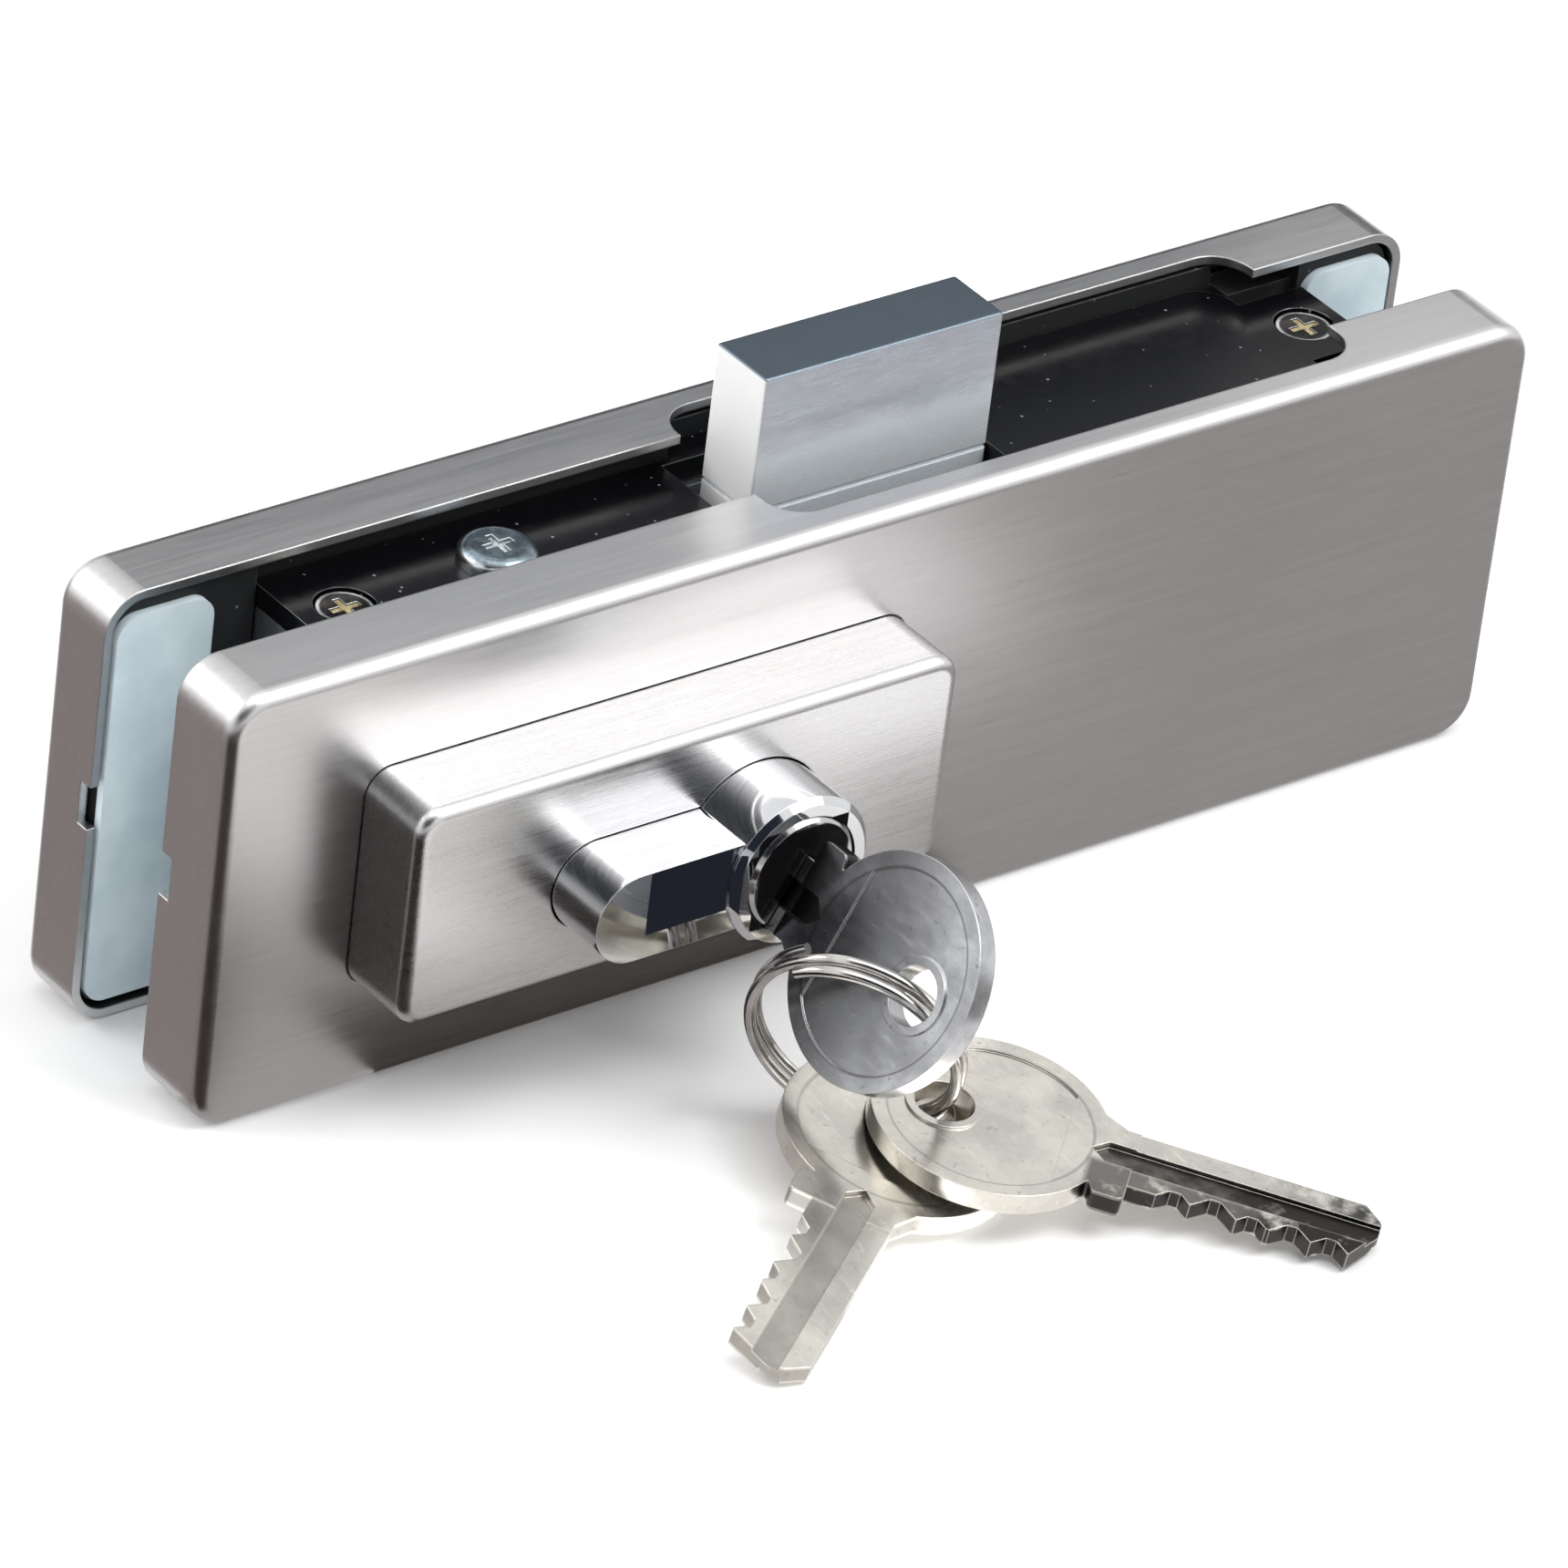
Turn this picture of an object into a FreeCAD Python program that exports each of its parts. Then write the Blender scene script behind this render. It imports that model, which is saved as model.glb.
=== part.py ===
import FreeCAD, Part
import Sketcher
import math
import os
import re

# Glass door lock on its long bottom edge. X runs along the lock, Y through the door, Z up.
# The origin is on the middle plane of the glass, half way along the lock, at its foot.
# Every driving dimension is a cell of the sheet, in millimetres or degrees.
SIZES = (
    # covers
    ("cover_length", 164.0),
    ("cover_height", 50.0),
    ("sheet_wall", 1.0),
    ("cover_corner", 4.5),
    ("cover_edge", 1.5),
    ("cover_gap", 12.5),
    ("front_depth", 9.2),
    ("rear_depth", 8.4),
    ("notch_left", -12.5),
    ("notch_right_margin", 20.5),
    ("front_notch", 5.5),
    ("rear_notch", 4.7),
    ("notch_corner", 4.2),
    ("pry_width", 4.9),
    ("pry_depth", 1.7),
    ("pry_place", 25.8),
    # housings that stand proud of the covers round the cylinder
    ("housing_length", 66.5),
    ("housing_height", 25.2),
    ("housing_proud", 9.3),
    ("housing_wall", 1.2),
    ("housing_corner", 3.0),
    ("housing_edge", 1.3),
    ("housing_place", -31.7),
    ("flange_wall", 0.8),
    ("flange_rim", 2.5),
    ("flange_corner", 4.0),
    # clamp plates, pads and clips
    ("pad_gap", 12.2),
    ("pad_wall", 1.0),
    ("pad_width", 11.5),
    ("pad_corner", 2.5),
    ("pad_margin", 2.2),
    ("pad_drop", 0.6),
    ("plate_gap", 0.5),
    ("plate_corner", 3.0),
    ("clip_height", 10.0),
    ("clip_wall", 0.4),
    ("clip_seat", 1.5),
    ("clip_width", 4.0),
    # lock case and forend
    ("case_left_margin", 18.7),
    ("case_right_margin", 13.5),
    ("case_base", 6.0),
    ("case_half", 8.1),
    ("case_corner", 1.5),
    ("case_wall", 2.1),
    ("case_floor", 2.5),
    ("left_post", 13.0),
    ("right_post", 13.5),
    ("case_lid", 1.9),
    ("lid_lap", 4.4),
    ("lid_foot_lap", 1.2),
    ("forend_drop", 3.8),
    ("forend_wall", 2.5),
    ("forend_end_half", 6.2),
    ("bulge_left_gap", 0.3),
    ("bulge_right_gap", 1.5),
    ("bulge_half", 10.8),
    ("bulge_corner", 3.8),
    # bolt
    ("bolt_width", 30.1),
    ("bolt_thick", 8.2),
    ("bolt_place", 3.95),
    ("bolt_proud", 11.6),
    ("bolt_foot_gap", 0.5),
    ("bolt_throw", 15.0),
    ("bolt_edge", 0.35),
    ("bolt_top_edge", 0.28),
    ("bolt_slip", 0.25),
    ("slot_half", 7.2),
    ("slot_left", 2.6),
    ("scribe_drop", 15.9),
    ("scribe_width", 0.5),
    ("scribe_depth", 0.3),
    ("lug_reach", 2.8),
    ("lug_low", 6.7),
    ("lug_high", 6.5),
    ("roller_radius", 1.6),
    ("roller_length", 26.0),
    ("roller_space", 15.0),
    ("roller_drop", 3.0),
    ("guide_slip", 0.2),
    ("guide_width", 13.0),
    ("guide_rise", 1.5),
    ("stop_width", 5.7),
    ("stop_gap", 0.8),
    ("plunger_radius", 2.0),
    ("plunger_length", 6.0),
    ("plunger_drop", 13.7),
    ("plunger_spring", 5.0),
    ("plunger_spring_wall", 0.5),
    # profile cylinder
    ("barrel_radius", 8.5),
    ("barrel_proud", 1.0),
    ("tail_half", 5.0),
    ("tail_centre", 19.5),
    ("half_length", 32.2),
    ("cylinder_place", -23.2),
    ("cylinder_drop", 1.4),
    ("barrel_chamfer", 0.7),
    ("cam_slot", 10.0),
    ("cam_slot_reach", 9.3),
    ("fixing_place", 16.2),
    ("plug_radius", 6.5),
    ("plug_slip", 0.05),
    ("plug_proud", 0.25),
    ("plug_chamfer", 0.5),
    ("plug_tongue", 0.85),
    ("clip_ring_wall", 0.7),
    ("clip_ring_grip", 0.55),
    ("clip_ring_reach", 1.1),
    ("clip_ring_mouth", 8.0),
    ("cam_half", 4.0),
    ("hub_radius", 8.0),
    ("lobe_centre", 12.5),
    ("lobe_radius", 2.5),
    ("lobe_neck", 3.2),
    ("lobe_slip", 0.35),
    ("notch_floor", 0.6),
    ("clutch_width", 2.6),
    ("clutch_span", 9.0),
    ("clutch_tip_gap", 0.1),
    ("clutch_end_gap", 0.4),
    ("pin_radius", 1.4),
    ("pin_slip", 0.1),
    ("pin_tip", 0.4),
    ("pin_gap", 0.1),
    ("shear_drop", 0.25),
    ("pin_pitch", 4.0),
    ("first_pin", 30.0),
    ("driver_length", 5.0),
    ("pin_spring", 8.0),
    ("pin_spring_wall", 0.5),
    # keys
    ("key_turn", 240.0),
    ("key_shift", 2.1),
    ("key_place", 49.6),
    ("bow_radius", 12.2),
    ("bow_thick", 2.3),
    ("bow_rim", 1.7),
    ("bow_recess", 0.25),
    ("bow_field", 7.6),
    ("key_hole", 3.1),
    ("key_hole_rim", 0.9),
    ("key_hole_place", 4.8),
    ("blade_half", 4.2),
    ("blade_thick", 2.0),
    ("key_reach", 40.0),
    ("key_shoulder", 14.8),
    ("shoulder_width", 3.2),
    ("shoulder_height", 2.6),
    ("shoulder_slope", 0.5),
    ("shoulder_corner", 0.7),
    ("neck_root", 8.2),
    ("neck_half", 5.4),
    ("flare_middle", 10.2),
    ("flare_half", 6.0),
    ("flare_end", 13.4),
    ("flare_curve", 3.0),
    ("groove_start", 10.4),
    ("groove_depth", 0.55),
    ("groove_width", 3.2),
    ("back_groove_width", 2.4),
    ("back_groove_place", -0.9),
    ("tip_heel", 2.0),
    ("tip_low", 2.2),
    ("tip_high", 3.8),
    ("tip_slope", 2.4),
    ("tip_round", 1.3),
    ("keyway_slip", 0.15),
    ("cut_one", 1.3),
    ("cut_two", 1.9),
    ("cut_three", 1.0),
    ("cut_four", 1.6),
    ("cut_five", 1.4),
    ("cut_flat", 0.5),
    # split ring and the two keys that hang on it
    ("ring_radius", 10.98),
    ("ring_wire", 0.6),
    ("ring_pitch", 1.7),
    ("ring_turn", 33.9),
    ("ring_lean", 15.4),
    ("ring_lead", 65.0),
    ("ring_bias", 54.7),
    ("ring_at_lock", 303.3),
    ("ring_at_first", 35.5),
    ("ring_at_second", 54.8),
    ("lock_slack", 0.86),
    ("lock_slack_side", 0.18),
    ("first_slack", 0.36),
    ("first_slack_side", 0.55),
    ("first_heading", -47.7),
    ("first_dip", 7.1),
    ("first_roll", 3.4),
    ("second_slack", -0.2),
    ("second_slack_side", 0.16),
    ("second_heading", -146.0),
    ("second_dip", 3.3),
    ("second_roll", -11.4),
    # screws
    ("forend_screw_left_margin", 5.6),
    ("forend_screw_right_margin", 4.6),
    ("forend_head", 2.95),
    ("forend_head_drop", 0.3),
    ("forend_head_wall", 1.5),
    ("forend_shank", 1.9),
    ("forend_screw_length", 9.0),
    ("fixing_head", 4.1),
    ("fixing_head_wall", 2.0),
    ("fixing_crown", 1.2),
    ("fixing_foot_gap", 0.3),
    ("fixing_shank", 2.4),
    ("clamp_margin", 4.9),
    ("clamp_low", 14.0),
    ("clamp_high", 31.0),
    ("clamp_head", 4.2),
    ("clamp_head_wall", 3.0),
    ("clamp_head_sink", 0.2),
    ("clamp_shank", 2.4),
    ("clamp_grip", 5.0),
    ("lid_head", 2.1),
    ("lid_head_wall", 1.0),
    ("lid_shank", 1.2),
    ("lid_screw_length", 5.0),
    ("lid_screw_margin", 2.2),
    ("lid_screw_rise", 2.5),
    ("lid_screw_drop", 4.2),
    ("cross_span", 3.4),
    ("cross_width", 0.8),
    ("cross_depth", 1.1),
    # clearances between fitted pieces
    ("slip", 0.1),
    ("fit", 0.15),
    ("screw_slip", 0.15),
)

ALIASES = frozenset(alias for alias, number in SIZES)
OVERSHOOT = "5"

# places worked out from the driving sizes
COVER_TOP = "cover_height"
CASE_LEFT = "(case_left_margin - cover_length / 2)"
CASE_RIGHT = "(cover_length / 2 - case_right_margin)"
NOTCH_RIGHT = "(cover_length / 2 - notch_right_margin)"
BULGE_LEFT = "(notch_left + bulge_left_gap)"
BULGE_RIGHT = f"({NOTCH_RIGHT} - bulge_right_gap)"
FOREND_SCREWS = (f"({CASE_LEFT} + forend_screw_left_margin)", f"({CASE_RIGHT} - forend_screw_right_margin)")
FOREND_TOP = "(cover_height - forend_drop)"
FOREND_FOOT = "(cover_height - forend_drop - forend_wall)"
AXIS_HEIGHT = "(cover_height / 2 - cylinder_drop)"
BOLT_LEFT = "(bolt_place - bolt_width / 2)"
BOLT_RIGHT = "(bolt_place + bolt_width / 2)"
BOLT_HALF = "(bolt_thick / 2)"
BOLT_TOP = "(cover_height + bolt_proud)"
CAVITY_LEFT = f"({CASE_LEFT} + left_post)"
CAVITY_RIGHT = f"({CASE_RIGHT} - right_post)"
CAVITY_FLOOR = "(case_base + case_floor)"
BOLT_FOOT = f"({CAVITY_FLOOR} + bolt_throw + bolt_foot_gap)"
BARREL_END = "(half_length + barrel_proud)"
PLATE_HALF = "(cover_length / 2 - sheet_wall - plate_gap)"
PLATE_LOW = "(sheet_wall + plate_gap)"
PLATE_HIGH = "(cover_height - sheet_wall - plate_gap)"
PLATE_NEAR = "(pad_gap / 2 + pad_wall)"
BITTING = ("cut_one", "cut_two", "cut_three", "cut_four", "cut_five")

doc = FreeCAD.newDocument("glass_door_lock")
sheet = doc.addObject("Spreadsheet::Sheet", "sizes")
for row, (alias, number) in enumerate(SIZES, start=1):
    sheet.set(f"A{row}", alias)
    sheet.set(f"B{row}", str(number))
    sheet.setAlias(f"B{row}", alias)
doc.recompute()


def value(text):
    """The number that an expression of sizes gives now."""
    return float(sheet.evalExpression(text))


def bound(text):
    """The same expression as another object of the document has to write it."""
    def tied(word):
        return "sizes." + word.group() if word.group() in ALIASES else word.group()

    return re.sub(r"[a-z_]+", tied, text)


def bind(item, prop, text):
    """Ties one property of an object to the sheet."""
    item.setExpression(prop, bound(str(text)))


def minus(text):
    """The expression with its sign turned."""
    return f"(-1 * ({text}))"


def span(side, near, far):
    """Low and high Y of a stretch that is near to far from the glass, on side -1 (front) or 1 (rear)."""
    return (near, far) if side > 0 else (minus(far), minus(near))


def box(name, along_x, along_y, along_z):
    """A block between pairs of expressions."""
    block = doc.addObject("Part::Box", name)
    for prop, axis, (low, high) in zip(("Length", "Width", "Height"), "xyz", (along_x, along_y, along_z)):
        bind(block, prop, f"({high}) - ({low})")
        bind(block, f"Placement.Base.{axis}", low)
    return block


TURNS = {
    "x": FreeCAD.Rotation(FreeCAD.Vector(0, 1, 0), 90),
    "y": FreeCAD.Rotation(FreeCAD.Vector(1, 0, 0), -90),
    "z": FreeCAD.Rotation(),
}


def rod(name, axis, radius, low, high, first, second):
    """A cylinder along an axis, from low to high, at the two other coordinates in X, Y, Z order."""
    round_bar = doc.addObject("Part::Cylinder", name)
    round_bar.Placement = FreeCAD.Placement(FreeCAD.Vector(), TURNS[axis])
    bind(round_bar, "Radius", radius)
    bind(round_bar, "Height", f"({high}) - ({low})")
    others = [letter for letter in "xyz" if letter != axis]
    bind(round_bar, f"Placement.Base.{axis}", low)
    bind(round_bar, f"Placement.Base.{others[0]}", first)
    bind(round_bar, f"Placement.Base.{others[1]}", second)
    return round_bar


PLANES = {"z": "XY_Plane", "y": "XZ_Plane", "x": "YZ_Plane"}


def outline(body, name, axis, corners):
    """A closed sketch on a plane of the body, with both coordinates of every corner tied to the sheet."""
    sketch = body.newObject("Sketcher::SketchObject", name)
    plane = [item for item in body.Origin.OriginFeatures if item.Role == PLANES[axis]][0]
    sketch.AttachmentSupport = [(plane, "")]
    sketch.MapMode = "FlatFace"
    places = [FreeCAD.Vector(value(across), value(up), 0) for across, up in corners]
    count = len(places)
    for index in range(count):
        sketch.addGeometry(Part.LineSegment(places[index], places[(index + 1) % count]))
    for index in range(count):
        sketch.addConstraint(Sketcher.Constraint("Coincident", index, 2, (index + 1) % count, 1))
    for index, (across, up) in enumerate(corners):
        for kind, number, text in (
            ("DistanceX", places[index].x, across),
            ("DistanceY", places[index].y, up),
        ):
            at = sketch.addConstraint(Sketcher.Constraint(kind, -1, 1, index, 1, number))
            label = f"{kind[-1].lower()}_{index}"
            sketch.renameConstraint(at, label)
            bind(sketch, f"Constraints.{label}", text)
    return sketch


def prism(name, axis, corners, low, high):
    """A body padded from an outline along an axis, from low to high."""
    body = doc.addObject("PartDesign::Body", name)
    sketch = outline(body, name + "_outline", axis, corners)
    bind(sketch, "AttachmentOffset.Base.z", minus(high) if axis == "y" else low)
    pad = body.newObject("PartDesign::Pad", name + "_pad")
    pad.Profile = sketch
    bind(pad, "Length", f"({high}) - ({low})")
    doc.recompute()
    return body


def rounded(body, name, wanted, radius):
    """Rounds the edges of a body's last feature that the test wants."""
    last = body.Tip
    names = [f"Edge{index}" for index, edge in enumerate(last.Shape.Edges, start=1) if wanted(edge)]
    fillet = body.newObject("PartDesign::Fillet", name)
    fillet.Base = (last, names)
    bind(fillet, "Radius", radius)
    doc.recompute()
    return body


def runs_along(axis):
    """A test for straight edges along an axis."""
    def test(edge):
        way = edge.tangentAt(edge.FirstParameter)
        return edge.Curve.TypeId == "Part::GeomLine" and abs(getattr(way, axis)) > 0.999
    return test


def lies_at(axis, text):
    """A test for edges that lie in the plane where one coordinate has a value."""
    place = value(text)

    def test(edge):
        low = getattr(edge.BoundBox, axis.upper() + "Min")
        high = getattr(edge.BoundBox, axis.upper() + "Max")
        return abs(low - place) < 1e-4 and abs(high - place) < 1e-4
    return test


def plate(name, axis, across, up, low, high, corner):
    """A rectangular prism with its four long edges rounded."""
    corners = ((across[0], up[0]), (across[1], up[0]), (across[1], up[1]), (across[0], up[1]))
    body = prism(name, axis, corners, low, high)
    return rounded(body, name + "_corners", runs_along(axis), corner)


def joined(name, items):
    """One object fused from several."""
    fused = doc.addObject("Part::MultiFuse", name)
    fused.Shapes = list(items)
    return fused


def without(name, base, tools):
    """The base with the tools cut away."""
    result = doc.addObject("Part::Cut", name)
    result.Base = base
    result.Tool = tools[0] if len(tools) == 1 else joined(name + "_tools", tools)
    return result


def group(name, items):
    """Several separate solids kept under one name."""
    compound = doc.addObject("Part::Compound", name)
    compound.Links = list(items)
    return compound


def cross_recess(name, axis, top, first, second):
    """The cross of a driver in a screw's head, whose face is at top on the way out (axis y or z)."""
    half_span = "(cross_span / 2)"
    half_width = "(cross_width / 2)"
    inward = (f"({top} - cross_depth)", f"({top} + {OVERSHOOT})")
    bars = []
    for bar, (reach, narrow) in enumerate(((half_span, half_width), (half_width, half_span))):
        first_span = (f"({first} - {reach})", f"({first} + {reach})")
        second_span = (f"({second} - {narrow})", f"({second} + {narrow})")
        spans = {"y": (first_span, inward, second_span), "z": (first_span, second_span, inward)}[axis]
        bars.append(box(f"{name}_bar_{bar}", *spans))
    return joined(name, bars)


pieces = {}


def keep(name, item):
    """Names a finished sub-part."""
    item.Label = name
    pieces[name] = item
    return item


# Cylinder profile: a round barrel with a narrower tail to its left

def profile(name, grow, low, high):
    """The cylinder's profile, grown all round, along Y."""
    barrel = rod(name + "_barrel", "y", f"(barrel_radius + {grow})", low, high, "cylinder_place", AXIS_HEIGHT)
    tail = box(
        name + "_tail",
        ("(cylinder_place - tail_centre)", "cylinder_place"),
        (low, high),
        (f"({AXIS_HEIGHT} - tail_half - {grow})", f"({AXIS_HEIGHT} + tail_half + {grow})"),
    )
    end = rod(
        name + "_end", "y", f"(tail_half + {grow})", low, high, "(cylinder_place - tail_centre)", AXIS_HEIGHT
    )
    return joined(name, (barrel, tail, end))


PAST_CYLINDER = f"(half_length + {OVERSHOOT})"
profile_hole = profile("profile_hole", "fit", minus(PAST_CYLINDER), PAST_CYLINDER)


# Sheet covers

def block_for_cover(name, side, depth, inset, near):
    """A block with a cover's outline, set in by an inset on every side but the glass side."""
    half = f"(cover_length / 2 - {inset})"
    far = f"(cover_gap / 2 + {depth} - {inset})"
    low, high = span(side, near, far)
    corner = f"(cover_corner - {inset})"
    across = (minus(half), half)
    up = (inset, f"(cover_height - {inset})")
    body = plate(name, "y", across, up, low, high, corner)
    face = far if side > 0 else minus(far)
    return rounded(body, name + "_edge", lies_at("y", face), f"(cover_edge - {inset})")


def cover(name, side, depth, notch):
    """A tray of sheet, open to the glass, with the bolt's notch, the housing's window and a pry notch."""
    outer = block_for_cover(name + "_outer", side, depth, "0", "(cover_gap / 2)")
    inner = block_for_cover(name + "_inner", side, depth, "sheet_wall", f"(cover_gap / 2 - {OVERSHOOT})")
    notch_far = f"(cover_gap / 2 + {notch})"
    low, high = span(side, "0", notch_far)
    across = ("notch_left", NOTCH_RIGHT)
    corners = ((across[0], low), (across[1], low), (across[1], high), (across[0], high))
    notch_up = (f"({COVER_TOP} - 2 * sheet_wall)", f"({COVER_TOP} + {OVERSHOOT})")
    notch_block = prism(name + "_notch", "z", corners, *notch_up)
    rounded(notch_block, name + "_notch_corners", runs_along("z"), f"min(notch_corner; {notch} - fit)")
    half_length = "(housing_length / 2 + fit)"
    half_height = "(housing_height / 2 + fit)"
    window = plate(
        name + "_window",
        "y",
        (f"(housing_place - {half_length})", f"(housing_place + {half_length})"),
        (f"(cover_height / 2 - {half_height})", f"(cover_height / 2 + {half_height})"),
        *span(side, "(cover_gap / 2 + sheet_wall)", f"(cover_gap / 2 + {depth} + {OVERSHOOT})"),
        "(housing_corner + fit)",
    )
    pry = box(
        name + "_pry",
        (f"(-1 * cover_length / 2 - {OVERSHOOT})", "(-1 * cover_length / 2 + 1.5 * sheet_wall)"),
        span(side, "0", "(cover_gap / 2 + pry_depth)"),
        ("(pry_place - pry_width / 2)", "(pry_place + pry_width / 2)"),
    )
    return keep(name, without(name, outer, (inner, notch_block, window, pry)))


def housing(name, side, depth):
    """A deep cup round the cylinder, pushed through the cover's window and held by its flange."""
    cover_inner = f"(cover_gap / 2 + {depth} - sheet_wall - slip)"
    flange_near = f"(cover_gap / 2 + {depth} - sheet_wall - slip - flange_wall)"
    face = f"(cover_gap / 2 + {depth} + housing_proud)"
    low, high = span(side, flange_near, face)

    def sides(grow):
        length = f"(housing_length / 2 + {grow})"
        height = f"(housing_height / 2 + {grow})"
        across = (f"(housing_place - {length})", f"(housing_place + {length})")
        return across, (f"(cover_height / 2 - {height})", f"(cover_height / 2 + {height})")

    cup = plate(name + "_cup", "y", *sides("0"), low, high, "housing_corner")
    rounded(cup, name + "_cup_edge", lies_at("y", face if side > 0 else minus(face)), "housing_edge")
    flange = plate(
        name + "_flange", "y", *sides("flange_rim"), *span(side, flange_near, cover_inner), "flange_corner"
    )
    hollow = plate(
        name + "_hollow",
        "y",
        *sides("(-1 * housing_wall)"),
        *span(side, f"({flange_near} - {OVERSHOOT})", f"({face} - housing_wall)"),
        "(housing_corner - housing_wall)",
    )
    return keep(name, without(name, joined(name + "_shell", (cup, flange)), (hollow, profile_hole)))


cover("front_cover", -1, "front_depth", "front_notch")
cover("rear_cover", 1, "rear_depth", "rear_notch")
housing("front_housing", -1, "front_depth")
housing("rear_housing", 1, "rear_depth")


# Clamp plates with their pads and the clips that hold the covers

CLAMP_ENDS = (f"({CASE_LEFT} + clamp_margin)", f"({CASE_RIGHT} - clamp_margin)")
CLAMP_PLACES = [(across, up) for across in CLAMP_ENDS for up in ("clamp_low", "clamp_high")]


def plate_far(depth):
    """How far from the glass a clamp plate's outer face is."""
    return f"(cover_gap / 2 + {depth} - sheet_wall - 2 * slip - flange_wall)"


def clamp_plate(name, side, depth):
    """A cast plate inside a cover, with a pocket for the lock case and seats for the clips and screws."""
    far = plate_far(depth)
    across = (minus(PLATE_HALF), PLATE_HALF)
    low, high = span(side, PLATE_NEAR, far)
    base = plate(name + "_base", "y", across, (PLATE_LOW, PLATE_HIGH), low, high, "plate_corner")
    above = f"({COVER_TOP} + {OVERSHOOT})"
    case_pocket = box(
        name + "_case_pocket",
        (f"({CASE_LEFT} - fit)", f"({CASE_RIGHT} + fit)"),
        span(side, "0", "(case_half + fit)"),
        ("(case_base - fit)", above),
    )
    bulge_pocket = box(
        name + "_bulge_pocket",
        (f"({BULGE_LEFT} - fit)", f"({BULGE_RIGHT} + fit)"),
        span(side, "0", "(bulge_half + fit)"),
        (f"({FOREND_FOOT} - fit)", above),
    )
    ledge = box(
        name + "_ledge",
        (f"({BULGE_RIGHT} - fit)", f"({CASE_RIGHT} + fit)"),
        span(side, "0", f"({far} + {OVERSHOOT})"),
        (FOREND_TOP, above),
    )
    tools = [case_pocket, bulge_pocket, ledge, profile_hole]
    for end, sign in (("left", "-1"), ("right", "1")):
        outer = f"({sign} * ({PLATE_HALF} + {OVERSHOOT}))"
        inner = f"({sign} * ({PLATE_HALF} - clip_seat))"
        tools.append(
            box(
                f"{name}_{end}_seat",
                (outer, inner) if end == "left" else (inner, outer),
                span(side, f"({far} - clip_width - slip)", f"({far} + {OVERSHOOT})"),
                ("(pry_place - clip_height / 2 - slip)", "(pry_place + clip_height / 2 + slip)"),
            )
        )
    for index, (across_place, up_place) in enumerate(CLAMP_PLACES):
        tools.append(
            rod(
                f"{name}_hole_{index}",
                "y",
                "(clamp_shank + screw_slip)",
                *span(side, "0", f"({far} + {OVERSHOOT})"),
                across_place,
                up_place,
            )
        )
        if side > 0:
            tools.append(
                rod(
                    f"{name}_head_seat_{index}",
                    "y",
                    "(clamp_head + screw_slip)",
                    f"({far} - clamp_head_wall)",
                    f"({far} + {OVERSHOOT})",
                    across_place,
                    up_place,
                )
            )
    return keep(name, without(name, base, tools))


def glass_pads(name, side):
    """Two fibre pads on a clamp plate, one at each end, facing the glass."""
    pads = []
    for end, sign in (("left", "-1"), ("right", "1")):
        inner = f"({sign} * ({PLATE_HALF} - pad_width))"
        outer = f"({sign} * {PLATE_HALF})"
        pads.append(
            plate(
                f"{name}_{end}",
                "y",
                (outer, inner) if end == "left" else (inner, outer),
                ("pad_margin", "(cover_height - pad_margin - pad_drop)"),
                *span(side, "(pad_gap / 2)", PLATE_NEAR),
                "pad_corner",
            )
        )
    return keep(name, group(name, pads))


def cover_clips(name, side, depth):
    """Two bowed leaf clips, in the ends of a clamp plate, that grip the cover's end walls."""
    far = plate_far(depth)
    foot = f"({PLATE_HALF} - clip_seat)"
    crown = f"({PLATE_HALF} + plate_gap - slip)"
    clips = []
    for end, sign in (("left", "-1"), ("right", "1")):
        def at(x_text, y_text):
            low_or_high = y_text if side > 0 else minus(y_text)
            return (f"({sign} * ({x_text}))", low_or_high)
        corners = (
            at(foot, f"({far} - clip_width)"),
            at(foot, far),
            at(f"({foot} + clip_wall)", far),
            at(crown, f"({far} - clip_width / 2 + clip_wall)"),
            at(crown, f"({far} - clip_width / 2 - clip_wall)"),
            at(f"({foot} + clip_wall)", f"({far} - clip_width)"),
        )
        low, high = "(pry_place - clip_height / 2)", "(pry_place + clip_height / 2)"
        clips.append(prism(f"{name}_{end}", "z", corners, low, high))
    return keep(name, group(name, clips))


clamp_plate("front_clamp_plate", -1, "front_depth")
clamp_plate("rear_clamp_plate", 1, "rear_depth")
glass_pads("front_glass_pads", -1)
glass_pads("rear_glass_pads", 1)
cover_clips("front_cover_clips", -1, "front_depth")
cover_clips("rear_cover_clips", 1, "rear_depth")


# Lock case: a cast box, open at the rear and the top, with its lid and forend

LID_LEFT = f"({CAVITY_LEFT} - lid_lap)"
LID_RIGHT = f"({CAVITY_RIGHT} + lid_lap)"
LID_LOW = f"({CAVITY_FLOOR} - lid_foot_lap)"
LID_SCREWS = [
    (across, up)
    for across in (f"({CAVITY_LEFT} - lid_screw_margin)", f"({CAVITY_RIGHT} + lid_screw_margin)")
    for up in (f"({CAVITY_FLOOR} + lid_screw_rise)", f"({FOREND_FOOT} - lid_screw_drop)")
]


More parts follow.
